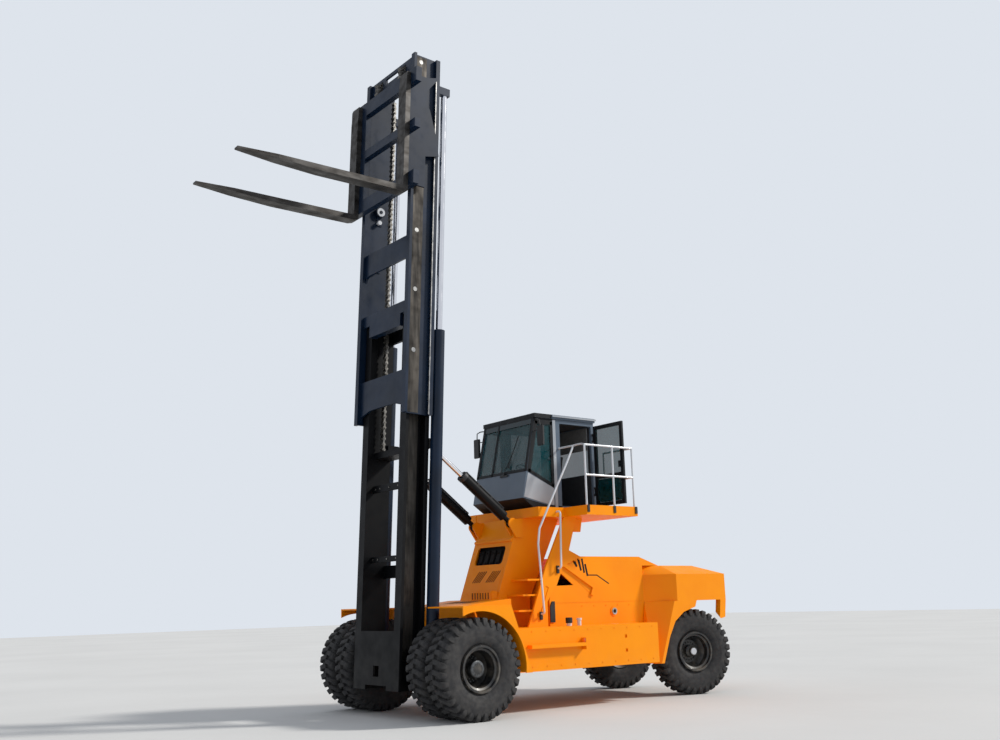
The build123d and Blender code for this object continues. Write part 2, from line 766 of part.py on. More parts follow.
def hood():
    """The engine hood with its sloped rear end and cut sides, open below."""
    outline = [
        (HOOD_FRONT, SIDE_BOX_TOP),
        (HOOD_FRONT, HOOD_FRONT_KNEE),
        (HOOD_BROW_X, HOOD_BROW_Z),
        (HOOD_FRONT_TOP, HOOD_TOP),
        (HOOD_REAR_TOP, HOOD_TOP),
        (HOOD_SLOPE_END_X, HOOD_SLOPE_END_Z),
        (HOOD_REAR, HOOD_SLOPE_END_Z),
        (HOOD_REAR, SIDE_BOX_TOP),
    ]
    w = HOOD_WALL
    inner = [
        (HOOD_FRONT - w, SIDE_BOX_TOP - 1),
        (HOOD_FRONT - w, HOOD_FRONT_KNEE),
        (HOOD_BROW_X - w, HOOD_BROW_Z - w * 0.6),
        (HOOD_FRONT_TOP, HOOD_TOP - w),
        (HOOD_REAR_TOP, HOOD_TOP - w),
        (HOOD_REAR + w, HOOD_TOP - w - 30),
        (HOOD_REAR + w, SIDE_BOX_TOP - 1),
    ]
    body = shell(outline, inner, HOOD_HALF_WIDTH, w)
    x, z = HOOD_CAP
    cap = bar((x, HOOD_HALF_WIDTH - 1, z), (x, HOOD_HALF_WIDTH + 14, z), HOOD_CAP_RADIUS)
    cuts = hood_side_marks()
    cuts += [mirrored(cut) for cut in cuts]
    rail = frame_rail()
    return body.cut(*cuts, rail, mirrored(rail)) + cap


def front_deck():
    """The sloped deck between the fenders and its narrow end beside the stair, open below."""
    w = DECK_WALL
    front = shell(
        [
            (DECK_FRONT, SIDE_BOX_TOP),
            (DECK_FRONT, DECK_FRONT_TOP),
            (TOWER_FRONT_BOTTOM, DECK_REAR_TOP),
            (STAIR_FRONT, DECK_REAR_TOP),
            (STAIR_FRONT, SIDE_BOX_TOP),
        ],
        [
            (DECK_FRONT - w, SIDE_BOX_TOP - 1),
            (DECK_FRONT - w, DECK_FRONT_TOP - w),
            (TOWER_FRONT_BOTTOM, DECK_REAR_TOP - w),
            (STAIR_FRONT + w, DECK_REAR_TOP - w),
            (STAIR_FRONT + w, SIDE_BOX_TOP - 1),
        ],
        DECK_HALF_WIDTH,
        w,
    )
    rear = shell(
        [
            (STAIR_FRONT, SIDE_BOX_TOP),
            (STAIR_FRONT, DECK_REAR_TOP),
            (TOWER_REAR_BOTTOM, DECK_REAR_TOP),
            (TOWER_REAR_BOTTOM, SIDE_BOX_TOP),
        ],
        [
            (STAIR_FRONT + 1, SIDE_BOX_TOP - 1),
            (STAIR_FRONT + 1, DECK_REAR_TOP - w),
            (TOWER_REAR_BOTTOM + w, DECK_REAR_TOP - w),
            (TOWER_REAR_BOTTOM + w, SIDE_BOX_TOP - 1),
        ],
        TOWER_HALF_WIDTH,
        w,
    )
    rail = frame_rail()
    return (front + rear).cut(rail, mirrored(rail))


# Stair treads on the left, as (front x, top z)
TREADS = ((-1510, 1700), (-1620, 1970), (-1730, 2240))


def stair_treads():
    """The grate treads between the tower and the left leg."""
    treads = []
    for x, top in TREADS:
        low = top - TREAD_THICK
        y0, y1 = TOWER_HALF_WIDTH, HOOD_HALF_WIDTH
        tread = block(x - TREAD_DEPTH, x, y0, y1, low, top)
        bay = (TREAD_DEPTH - TREAD_THICK) / TREAD_BARS
        for step in range(TREAD_BARS):
            end = x - TREAD_THICK / 2 - bay * step
            tread = tread - block(end - bay + 14, end - 14, y0 + 20, y1 - 20, low - 1, top + 1)
        treads.append(tread)
    return together(*treads)


def tower_front_x(z):
    """Where the tower's sloped front is at a height."""
    share = (z - DECK_REAR_TOP) / (CAB_BASE_BOTTOM - DECK_REAR_TOP)
    return TOWER_FRONT_BOTTOM + (TOWER_FRONT_TOP - TOWER_FRONT_BOTTOM) * share


def tower_openings():
    """The window in the tower's front and the two groups of slanted louvre slots below it."""
    low, high = TOWER_WINDOW
    reach = 4 * TOWER_WALL
    middle = tower_front_x((low + high) / 2)
    window = Box(2 * reach + (high - low), 2 * TOWER_WINDOW_HALF, high - low)
    window = fillet(window.edges().filter_by(Axis.X), 70)
    cuts = Pos(middle, 0, (low + high) / 2) * window
    for side in (-1, 1):
        for step in range(LOUVRE_COUNT):
            z = DECK_REAR_TOP + 150 + LOUVRE_PITCH * step
            slot = Box(2 * reach, 300, LOUVRE_SLOT)
            cuts = cuts + Pos(tower_front_x(z), side * 245, z) * Rot(side * 14, 0, 0) * slot
    return cuts


def tower():
    """The cab tower: hollow, with an opening in front and clevises for the tilt cylinders."""
    outline = [
        (TOWER_FRONT_BOTTOM, DECK_REAR_TOP),
        (TOWER_FRONT_TOP, CAB_BASE_BOTTOM),
        (TOWER_REAR_TOP, CAB_BASE_BOTTOM),
        (TOWER_REAR_BOTTOM, DECK_REAR_TOP),
    ]
    w = TOWER_WALL
    inner = [
        (TOWER_FRONT_BOTTOM - w * 1.1, DECK_REAR_TOP - 1),
        (TOWER_FRONT_TOP - w * 1.1, CAB_BASE_BOTTOM - w),
        (TOWER_REAR_TOP + w * 1.6, CAB_BASE_BOTTOM - w),
        (TOWER_REAR_BOTTOM + w * 1.6, DECK_REAR_TOP - 1),
    ]
    body = shell(outline, inner, TOWER_HALF_WIDTH, w) - tower_openings()
    tube_x = tower_front_x(CROSS_TUBE_Z)
    end_y = TOWER_HALF_WIDTH - 10
    body = body + bar((tube_x, -end_y, CROSS_TUBE_Z), (tube_x, end_y, CROSS_TUBE_Z), CROSS_TUBE_RADIUS)
    side = TILT_EYE_WIDTH / 2 + SEAT_GAP
    for sign in (-1, 1):
        y = sign * TILT_Y
        for edge in (-1, 1):
            y0 = y + edge * side
            y1 = y + edge * (side + CLEVIS_PLATE)
            ear = bar((TILT_PIN_X, y0, TILT_PIN_Z), (TILT_PIN_X, y1, TILT_PIN_Z), TILT_EYE_RADIUS + 20)
            foot = slab(
                [
                    (TILT_PIN_X - 60, TILT_PIN_Z + 80),
                    (TILT_PIN_X + 60, TILT_PIN_Z - 80),
                    (TILT_PIN_X - 70, TILT_PIN_Z - 260),
                    (TILT_PIN_X - 220, TILT_PIN_Z - 260),
                    (TILT_PIN_X - 220, TILT_PIN_Z + 80),
                ],
                y0,
                y1,
            )
            body = body + ear + foot
        channel = block(
            TILT_PIN_X - 175, TILT_PIN_X + 140, y - side, y + side, TILT_PIN_Z - 130, TILT_PIN_Z + 200
        )
        body = body - channel
        body = body + bar(
            (TILT_PIN_X, y - side - CLEVIS_PLATE, TILT_PIN_Z),
            (TILT_PIN_X, y + side + CLEVIS_PLATE, TILT_PIN_Z),
            TILT_PIN_RADIUS,
        )
    return body


def legs():
    """The left leg plate under the cab base, which leans back over the hood's front corner."""
    leg = slab(
        [
            (-1690, SIDE_BOX_TOP),
            (-2130, 2450),
            (WALKWAY_FRONT + 10, CAB_BASE_BOTTOM),
            (WALKWAY_FRONT - 290, CAB_BASE_BOTTOM),
            (-2700, 2750),
            (HOOD_FRONT_TOP + 20, HOOD_TOP),
            (-2530, 2440),
            (-2380, 2130),
            (HOOD_FRONT + 80, HOOD_FRONT_KNEE - 30),
            (HOOD_FRONT + 80, SIDE_BOX_TOP),
        ],
        HOOD_HALF_WIDTH,
        HOOD_HALF_WIDTH + LEG_THICK,
    )
    foot, head = (-1915, 1580), (-2150, 2100)
    y0 = HOOD_HALF_WIDTH + LEG_THICK - 12
    return leg - stroke(foot, head, 75, y0, y0 + 13)


def cab_base():
    """The cab's base plate, the wings over the legs and the walkway beside the door."""
    half, wing = CAB_BASE_HALF_WIDTH, CAB_WING_OUTER_Y
    low, high = CAB_BASE_BOTTOM, CAB_BASE_TOP
    wing_front = CAB_BASE_FRONT + 10
    base = block(CAB_BASE_REAR, CAB_BASE_FRONT, -half, half, low, high)
    base = base + block(CAB_BASE_REAR, wing_front, half - 10, wing, low, high)
    base = base + block(WALKWAY_FRONT - 300, wing_front, -wing, 10 - half, low, high)
    walkway = block(CAB_BASE_REAR, WALKWAY_FRONT, wing - 5, WALKWAY_OUTER_Y, low, high)
    gusset = slab(
        [
            (WALKWAY_FRONT - 310, low),
            (WALKWAY_FRONT - 610, low),
            (WALKWAY_FRONT - 560, low - 250),
            (WALKWAY_FRONT - 400, low - 250),
        ],
        half,
        half + LEG_THICK,
    )
    return base + walkway + gusset


SCREEN_EDGE = 60
WINDOW_TOP = CAB_TOP - 90
REAR_PANE_HALF = 640
QUARTER_LOW_Z = 3970
GUTTER_OUT = 35
# The quarter window, as (x, z) points: it follows the windscreen's slope and ends at the post
QUARTER_PANE = (
    (CAB_SILL_X - 75, CAB_SILL_Z + 30),
    (CAB_HEADER_X - 50, WINDOW_TOP),
    (CAB_POST_X, WINDOW_TOP),
    (CAB_POST_X, QUARTER_LOW_Z),
)


def cab_pieces():
    """The hollow cab, split where its panels meet."""
    outline = [
        (CAB_NOSE_BOTTOM_X, CAB_BASE_TOP),
        (CAB_NOSE_FRONT_X, CAB_NOSE_Z),
        (CAB_SILL_X, CAB_SILL_Z),
        (CAB_HEADER_X, CAB_TOP),
        (CAB_REAR, CAB_TOP),
        (CAB_REAR, CAB_BASE_TOP),
    ]
    w = CAB_WALL
    inner = [
        (CAB_NOSE_BOTTOM_X - w * 0.4, CAB_BASE_TOP + w),
        (CAB_NOSE_FRONT_X - w, CAB_NOSE_Z + w * 0.4),
        (CAB_SILL_X - w, CAB_SILL_Z),
        (CAB_HEADER_X - w, CAB_TOP - w),
        (CAB_REAR + w, CAB_TOP - w),
        (CAB_REAR + w, CAB_BASE_TOP + w),
    ]
    body = shell(outline, inner, CAB_HALF_WIDTH, w)
    far = 3000
    screen_half = CAB_HALF_WIDTH - SCREEN_EDGE
    windscreen = block(
        CAB_HEADER_X - 3 * w, CAB_NOSE_FRONT_X, -screen_half, screen_half, CAB_SILL_Z + 50, WINDOW_TOP
    )
    quarter = slab(QUARTER_PANE, -far, far)
    doorway = block(DOOR_REAR_X, DOOR_FRONT_X, 0, far, DOOR_BOTTOM - 5, DOOR_TOP + 5)
    right_window = block(DOOR_REAR_X, DOOR_FRONT_X, -far, 0, CAB_SILL_Z, DOOR_TOP)
    rear_window = block(
        CAB_REAR - w, CAB_REAR + 4 * w, -REAR_PANE_HALF, REAR_PANE_HALF, CAB_SILL_Z + 50, WINDOW_TOP
    )
    body = body - windscreen - quarter - doorway - right_window - rear_window
    nose_zone = slab(
        [
            (CAB_NOSE_FRONT_X + far, CAB_BASE_TOP - far),
            (CAB_NOSE_FRONT_X + far, CAB_SILL_Z),
            (CAB_SILL_X, CAB_SILL_Z),
            (CAB_POST_X, QUARTER_LOW_Z - 30),
            (CAB_POST_X, CAB_BASE_TOP - far),
        ],
        -far,
        far,
    )
    floor_zone = block(CAB_REAR - far, CAB_REAR + far, -far, far, CAB_BASE_TOP - w, CAB_BASE_TOP + w)
    ceiling_zone = block(CAB_REAR - far, CAB_REAR + far, -far, far, CAB_TOP - w, CAB_TOP + w)
    rear_zone = block(CAB_REAR - w, CAB_REAR + w, -far, far, CAB_BASE_TOP, CAB_TOP)
    right_zone = block(CAB_REAR + w, CAB_POST_X, -far, -CAB_HALF_WIDTH + w, CAB_BASE_TOP, CAB_TOP)
    nose = body & nose_zone
    upper = body - nose_zone
    floor = upper & floor_zone
    walls = upper - floor_zone - ceiling_zone
    rear = walls & rear_zone
    right = (walls - rear_zone) & right_zone
    frame = walls - rear_zone - right_zone
    roof = block(
        CAB_REAR - ROOF_OVERHANG,
        CAB_HEADER_X + 10,
        -CAB_HALF_WIDTH - 30,
        CAB_HALF_WIDTH + 30,
        CAB_TOP,
        CAB_TOP + ROOF_THICK,
    )
    for side in (-1, 1):
        y0 = side * (CAB_HALF_WIDTH + 20)
        roof = roof + block(
            CAB_REAR - ROOF_OVERHANG, CAB_POST_X, y0, y0 + side * GUTTER_OUT, CAB_TOP + 35, CAB_TOP + 65
        )
    return nose, frame, right, rear, roof + (upper & ceiling_zone), floor


def cab_glass():
    """The fixed panes: windscreen, quarter panes, right and rear windows."""
    slope = (CAB_HEADER_X - CAB_SILL_X) / (CAB_TOP - CAB_SILL_Z)

    def pane_x(z, inset):
        return CAB_SILL_X + slope * (z - CAB_SILL_Z) - inset

    low, high = CAB_SILL_Z + 51, WINDOW_TOP - 1
    screen = slab(
        [
            (pane_x(low, GLASS_INSET), low),
            (pane_x(low, GLASS_INSET + GLASS_THICK), low),
            (pane_x(high, GLASS_INSET + GLASS_THICK), high),
            (pane_x(high, GLASS_INSET), high),
        ],
        SCREEN_EDGE - CAB_HALF_WIDTH,
        CAB_HALF_WIDTH - SCREEN_EDGE,
    )
    y0 = CAB_HALF_WIDTH - GLASS_INSET - GLASS_THICK
    y1 = CAB_HALF_WIDTH - GLASS_INSET
    quarter = slab(QUARTER_PANE, y0, y1)
    right = block(DOOR_REAR_X, DOOR_FRONT_X, -y1, -y0, CAB_SILL_Z, DOOR_TOP)
    pane_rear = CAB_REAR + GLASS_INSET
    rear = block(
        pane_rear, pane_rear + GLASS_THICK, -REAR_PANE_HALF, REAR_PANE_HALF, CAB_SILL_Z + 50, WINDOW_TOP
    )
    return together(screen, quarter, mirrored(quarter), right, rear)


def cab_door():
    """The left door, drawn open at a right angle: its frame and its two panes."""
    x1 = DOOR_HINGE_X + (DOOR_HINGE_Y - CAB_HALF_WIDTH - RUN_GAP)
    x0 = x1 - DOOR_THICK
    y0 = DOOR_HINGE_Y + DOOR_STANDOFF
    y1 = y0 + DOOR_WIDTH
    frame = block(x0, x1, y0, y1, DOOR_BOTTOM, DOOR_TOP)
    panes = []
    for low, high in ((DOOR_BOTTOM + DOOR_FRAME, 4130), (4130 + DOOR_FRAME, DOOR_TOP - DOOR_FRAME)):
        frame = frame - block(x0 - 1, x1 + 1, y0 + DOOR_FRAME, y1 - DOOR_FRAME, low, high)
        mid = (x0 + x1) / 2
        panes.append(
            block(mid - GLASS_THICK / 2, mid + GLASS_THICK / 2, y0 + DOOR_FRAME, y1 - DOOR_FRAME, low, high)
        )
    for z in DOOR_EYE_Z:
        top = z + DOOR_EYE_HEIGHT
        eye = bar((DOOR_HINGE_X, DOOR_HINGE_Y, z), (DOOR_HINGE_X, DOOR_HINGE_Y, top), DOOR_EYE_RADIUS)
        strap = block(x0, x1, DOOR_HINGE_Y, y0 + 5, z, top)
        bore = DOOR_PIN_RADIUS + SHAFT_GAP
        hole = bar((DOOR_HINGE_X, DOOR_HINGE_Y, z - 1), (DOOR_HINGE_X, DOOR_HINGE_Y, top + 1), bore)
        frame = frame + eye + strap - hole
    return frame, together(*panes)


def door_hinges():
    """The hinge pins on the cab's rear post."""
    pins = []
    for z in DOOR_EYE_Z:
        low, high = z - 40, z + DOOR_EYE_HEIGHT + 40
        pin = bar((DOOR_HINGE_X, DOOR_HINGE_Y, low), (DOOR_HINGE_X, DOOR_HINGE_Y, high), DOOR_PIN_RADIUS)
        for base, tip in ((low, z - SEAT_GAP), (z + DOOR_EYE_HEIGHT + 5, high)):
            pin = pin + block(
                DOOR_HINGE_X - 16, DOOR_HINGE_X + 16, CAB_HALF_WIDTH, DOOR_HINGE_Y + 14, base, tip
            )
        pins.append(pin)
    return together(*pins)


def seat():
    """The driver's seat on its pedestal."""
    floor = CAB_BASE_TOP + CAB_WALL
    x, z = SEAT_FRONT, floor + SEAT_PEDESTAL
    inset = SEAT_DEPTH / 5
    base = block(x - SEAT_DEPTH + inset, x - inset, inset - SEAT_HALF_WIDTH, SEAT_HALF_WIDTH - inset, floor, z)
    cushion = block(x - SEAT_DEPTH, x, -SEAT_HALF_WIDTH, SEAT_HALF_WIDTH, z, z + SEAT_CUSHION)
    rise = z + SEAT_CUSHION
    rear = x - SEAT_DEPTH
    top_rear = rear - SEAT_RAKE
    back = slab(
        [
            (rear, rise),
            (rear + SEAT_CUSHION, rise),
            (top_rear + SEAT_CUSHION, rise + SEAT_BACK),
            (top_rear, rise + SEAT_BACK),
        ],
        -SEAT_HALF_WIDTH,
        SEAT_HALF_WIDTH,
    )
    return base + cushion + back


def console():
    """Dashboard and steering column."""
    dash = slab(
        [
            (CAB_NOSE_BOTTOM_X - CAB_WALL, CAB_BASE_TOP + CAB_WALL),
            (DASH_REAR, CAB_BASE_TOP + CAB_WALL),
            (DASH_REAR, DASH_TOP),
            (CAB_SILL_X - 40, DASH_TOP),
            (CAB_NOSE_FRONT_X - 80, CAB_NOSE_Z + 70),
        ],
        -420,
        420,
    )
    hub = Vector(*STEERING_HUB)
    foot = Vector(*COLUMN_FOOT)
    top = hub - (hub - foot).normalized() * SEAT_GAP
    return dash + bar(tuple(foot), tuple(top), 32)


def steering_wheel():
    """The steering wheel on its column, with three spokes."""
    plane = Plane(origin=STEERING_HUB, z_dir=Vector(*STEERING_HUB) - Vector(*COLUMN_FOOT))
    wheel = Solid.make_torus(190, 14) + Pos(0, 0, 14) * Cylinder(40, 28)
    for angle in (90, 210, 330):
        wheel = wheel + Rot(0, 0, angle) * Pos(108, 0, 8) * Box(165, 30, 8)
    return plane.location * wheel


STAIR_RAIL_Y = 1200
STAIR_RAIL_BEND = 55
LEG_FACE_Y = HOOD_HALF_WIDTH + LEG_THICK
# The bent rails beside the stair, as (x, y, z) points: one to the cab's post, one to the walkway
STAIR_RAILS = (
    (
        (-2815, CAB_HALF_WIDTH, 4690),
        (-2815, STAIR_RAIL_Y, 4690),
        (-2650, STAIR_RAIL_Y, 4380),
        (-2160, STAIR_RAIL_Y, 3540),
        (-1920, STAIR_RAIL_Y, 3120),
        (-1880, STAIR_RAIL_Y, 2850),
        (-1970, STAIR_RAIL_Y, 1620),
        (-1970, LEG_FACE_Y, 1620),
    ),
    (
        (-2430, CAB_WING_OUTER_Y, 3450),
        (-2430, STAIR_RAIL_Y, 3450),
        (-2400, STAIR_RAIL_Y, 2420),
        (-2400, LEG_FACE_Y, 2420),
    ),
)


def handrails():
    """The walkway's rail, of welded tube, and the two bent rails beside the stair."""
    r = RAIL_TUBE_RADIUS
    y = WALKWAY_OUTER_Y - RAIL_EDGE
    y_in = CAB_HALF_WIDTH + 120
    front, rear = WALKWAY_FRONT - RAIL_EDGE, CAB_BASE_REAR + RAIL_EDGE
    top = CAB_BASE_TOP + RAIL_HEIGHT
    rails = bar((front, y, top), (rear, y, top), r) + bar((rear, y, top), (rear, y_in, top), r)
    mid = CAB_BASE_TOP + RAIL_HEIGHT / 2
    rails = rails + bar((front, y, mid), (rear, y, mid), r) + bar((rear, y, mid), (rear, y_in, mid), r)
    for x in (front, (front + rear) / 2 - 90, rear):
        rails = rails + bar((x, y, CAB_BASE_TOP), (x, y, top), r)
    rails = rails + bar((rear, y_in, CAB_BASE_TOP), (rear, y_in, top), r)
    for corner in ((front, y, top), (rear, y, top), (rear, y_in, top)):
        rails = rails + Pos(*corner) * Sphere(r)
    return together(rails, *[tube(path, r, STAIR_RAIL_BEND) for path in STAIR_RAILS])


def counterweight():
    """The cast counterweight with its front legs and the rear wheel arches."""
    plan = [
        (HOOD_REAR, CW_FRONT_HALF),
        (CW_CHAMFER_X, CW_HALF_WIDTH),
        (CW_SIDE_REAR, CW_HALF_WIDTH),
        (CW_REAR, CW_REAR_HALF),
        (CW_REAR, -CW_REAR_HALF),
        (CW_SIDE_REAR, -CW_HALF_WIDTH),
        (CW_CHAMFER_X, -CW_HALF_WIDTH),
        (HOOD_REAR, -CW_FRONT_HALF),
    ]
    body = floor_plan(plan, CW_BOTTOM, CW_SIDE_TOP)
    half_low = [
        (HOOD_REAR, CW_FRONT_HALF - 10),
        (CW_CHAMFER_X, CW_HALF_WIDTH - 10),
        (CW_SIDE_REAR + 10, CW_HALF_WIDTH - 10),
        (CW_REAR + 10, CW_REAR_HALF - 5),
    ]
    half_high = [
        (HOOD_REAR, CW_FRONT_HALF - 150),
        (CW_CHAMFER_X + 30, CW_HALF_WIDTH - 380),
        (CW_SIDE_REAR + 450, CW_HALF_WIDTH - 450),
        (CW_REAR + 550, CW_REAR_HALF - 230),
    ]
    cap_low = half_low + [(x, -y) for x, y in reversed(half_low)]
    cap_high = half_high + [(x, -y) for x, y in reversed(half_high)]
    low = Wire.make_polygon([Vector(x, y, CW_SIDE_TOP) for x, y in cap_low], close=True)
    high = Wire.make_polygon([Vector(x, y, CW_TOP) for x, y in cap_high], close=True)
    body = body + Solid.make_loft([low, high], ruled=True)
    leg = slab(
        [
            (-4450, 640),
            (-4610, 640),
            (-4800, 1120),
            (-4970, 1400),
            (-5220, 1570),
            (-5550, 1660),
            (-5600, CW_BOTTOM),
            (HOOD_REAR, CW_BOTTOM),
        ],
        CW_LEG_INNER,
        CW_HALF_WIDTH,
    )
    top_inner = Vector(HOOD_REAR, CW_FRONT_HALF, CW_BOTTOM)
    top_outer = Vector(CW_CHAMFER_X + 85, CW_HALF_WIDTH, CW_BOTTOM)
    foot_outer = Vector(-4540, CW_HALF_WIDTH, 640)
    facet = Plane(origin=top_inner, z_dir=(foot_outer - top_inner).cross(top_outer - top_inner))
    leg = leg - facet * Pos(0, 0, 1000) * Box(4000, 4000, 2000)
    skirt = slab(
        [(-6290, CW_BOTTOM), (-6240, 1410), (-6400, 1440), (CW_SIDE_REAR, CW_BOTTOM)],
        CW_HALF_WIDTH - CW_SKIRT_WIDTH,
        CW_HALF_WIDTH,
    )
    sweep = wheel_sweep()
    half = (leg + skirt) - sweep
    pocket_z = CW_BOTTOM + 120
    pocket = block(
        CW_REAR - 1, CW_REAR + 170, -TOW_POCKET_HALF, TOW_POCKET_HALF, pocket_z, pocket_z + TOW_POCKET_HALF
    )
    pin_x = CW_REAR + 85
    pin_hole = bar((pin_x, 0, CW_BOTTOM - 1), (pin_x, 0, CW_TOP + 1), TOW_PIN_RADIUS)
    return (body + half + mirrored(half)) - pocket - pin_hole


def wheel_sweep():
    """The room that the left rear wheel turns through, about its kingpin."""
    side = REAR_WHEEL_Y + TYRE_WIDTH / 2 - KINGPIN_Y
    points = [(0, -100), (math.hypot(TYRE_RADIUS, side) + WHEEL_SWEEP_GAP, -100)]
    for step in range(7):
        angle = math.radians(15 * step)
        reach = math.hypot(TYRE_RADIUS * math.cos(angle), side)
        points.append((reach + WHEEL_SWEEP_GAP, AXLE_Z + TYRE_RADIUS * math.sin(angle) + WHEEL_SWEEP_GAP))
    points.append((0, TYRE_DIAMETER + WHEEL_SWEEP_GAP))
    wire = Wire.make_polygon([Vector(r, 0, z) for r, z in points], close=True)
    return Pos(REAR_AXLE_X, KINGPIN_Y, 0) * Solid.revolve(Face(wire), 360, Axis((0, 0, 0), (0, 0, 1)))


def fixed_mast():
    """The lower mast: rails, cross-members, axle rings and lift cylinder feet."""
    rail = block(FIXED_REAR, FIXED_FRONT, FIXED_INNER_Y, FIXED_INNER_Y + WEB, FIXED_BOTTOM, FIXED_TOP)
    rail = rail + block(
        FIXED_FRONT - FRONT_FLANGE, FIXED_FRONT, FIXED_INNER_Y, FIXED_OUTER_Y, FIXED_BOTTOM, FIXED_TOP
    )
    rail = rail + block(
        FIXED_REAR, FIXED_REAR + REAR_FLANGE, FIXED_INNER_Y, FIXED_OUTER_Y, FIXED_BOTTOM, FIXED_TOP
    )
    arm = slab(
        [(0, 545), (FIXED_REAR, FIXED_BOTTOM + 60), (FIXED_REAR, 1330), (0, AXLE_Z + PIVOT_RING_RADIUS)],
        PIVOT_INNER_Y,
        PIVOT_ARM_Y,
    )
    ring = bar((0, PIVOT_INNER_Y, AXLE_Z), (0, PIVOT_OUTER_Y, AXLE_Z), PIVOT_RING_RADIUS)
    bore = bar((0, PIVOT_INNER_Y - 1, AXLE_Z), (0, PIVOT_OUTER_Y + 1, AXLE_Z), AXLE_TUBE_RADIUS + SHAFT_GAP)
    foot_front = MOVING_REAR - RUN_GAP
    foot = block(70, foot_front, 600, 905, LIFT_BASE - 90, LIFT_BASE)
    foot = foot + block(70, FIXED_REAR + 60, 600, FIXED_OUTER_Y, LIFT_BASE - 90, LIFT_BASE)
    rail = rail + arm + ring - bore + foot
    rails = rail + mirrored(rail)
    lower = block(
        FIXED_FRONT - CROSS_PLATE, FIXED_FRONT, -FIXED_INNER_Y, FIXED_INNER_Y, FIXED_BOTTOM, 1390
    )
    lower = lower - block(FIXED_FRONT - 100, FIXED_FRONT + 10, -90, 90, 640, 820)
    lower = lower - block(FIXED_FRONT - 100, FIXED_FRONT + 10, -340, 340, FIXED_BOTTOM - 10, 500)
    rails = rails + lower
    rails = rails + block(
        FIXED_REAR, FIXED_REAR + 60, -FIXED_INNER_Y, FIXED_INNER_Y, FIXED_TOP - 420, FIXED_TOP
    )
    rails = rails + block(
        FIXED_REAR, FIXED_REAR + 60, -FIXED_INNER_Y, FIXED_INNER_Y, 2300, 2520
    )
    rails = rails + block(
        FIXED_REAR, CHAIN_BACK_X + 80, -FIXED_INNER_Y, FIXED_INNER_Y, CHAIN_ANCHOR_Z - 140, CHAIN_ANCHOR_Z - 20
    )
    side = TILT_EYE_WIDTH / 2 + RUN_GAP
    for sign in (-1, 1):
        for edge in (-1, 1):
            y0 = sign * TILT_Y + edge * side
            y1 = y0 + edge * CLEVIS_PLATE
            ear = bar((TILT_EYE_X, y0, TILT_EYE_Z), (TILT_EYE_X, y1, TILT_EYE_Z), TILT_EYE_RADIUS + 15)
            plate = block(
                TILT_EYE_X, FIXED_REAR, y0, y1, TILT_EYE_Z - TILT_EYE_RADIUS - 15, TILT_EYE_Z + TILT_EYE_RADIUS + 15
            )
            rails = rails + ear + plate
        pad = block(
            FIXED_REAR,
            FIXED_REAR + REAR_FLANGE,
            sign * (TILT_Y - side - CLEVIS_PLATE),
            sign * (TILT_Y + side + CLEVIS_PLATE),
            TILT_EYE_Z - TILT_EYE_RADIUS - 15,
            TILT_EYE_Z + TILT_EYE_RADIUS + 15,
        )
        rails = rails + pad
    return rails


CHAIN_BACK_X = PULLEY_X - PULLEY_RADIUS
CHAIN_FRONT_X = PULLEY_X + PULLEY_RADIUS


def lift_barrels():
    """The two lift cylinders' barrels."""
    barrel = bar((LIFT_X, LIFT_Y, LIFT_BASE), (LIFT_X, LIFT_Y, LIFT_BARREL_TOP), LIFT_BARREL_RADIUS)
    gland = LIFT_BARREL_TOP - GLAND_LENGTH
    bore = bar((LIFT_X, LIFT_Y, LIFT_BASE + 150), (LIFT_X, LIFT_Y, gland), LIFT_BORE_RADIUS)
    mouth = bar((LIFT_X, LIFT_Y, gland - 1), (LIFT_X, LIFT_Y, LIFT_BARREL_TOP + 1), LIFT_ROD_RADIUS + SHAFT_GAP)
    return both_sides(barrel - bore - mouth)


def cross_plates():
    """The moving mast's cross-plates, as outlines of (y, z) points that repeat on the other side."""
    y = MOVING_INNER_Y
    low, top = MOVING_BOTTOM, MOVING_TOP
    halves = (
        [(0, low + 226), (426, low + 219), (y - 20, low + 138), (y, low), (y, low + 790), (0, low + 790)],
        [(0, low + 1850), (y, low + 1850), (y, low + 2060), (0, low + 2060)],
        [(0, low + 2860), (y - 130, low + 2860), (y - 40, low + 2820), (y, low + 2740), (y, low + 3290), (0, low + 3290)],
        [(0, top - 430), (y, top - 430), (y, top), (0, top)],
    )
    return [half + [(-y, z) for y, z in reversed(half)][1:-1] for half in halves]


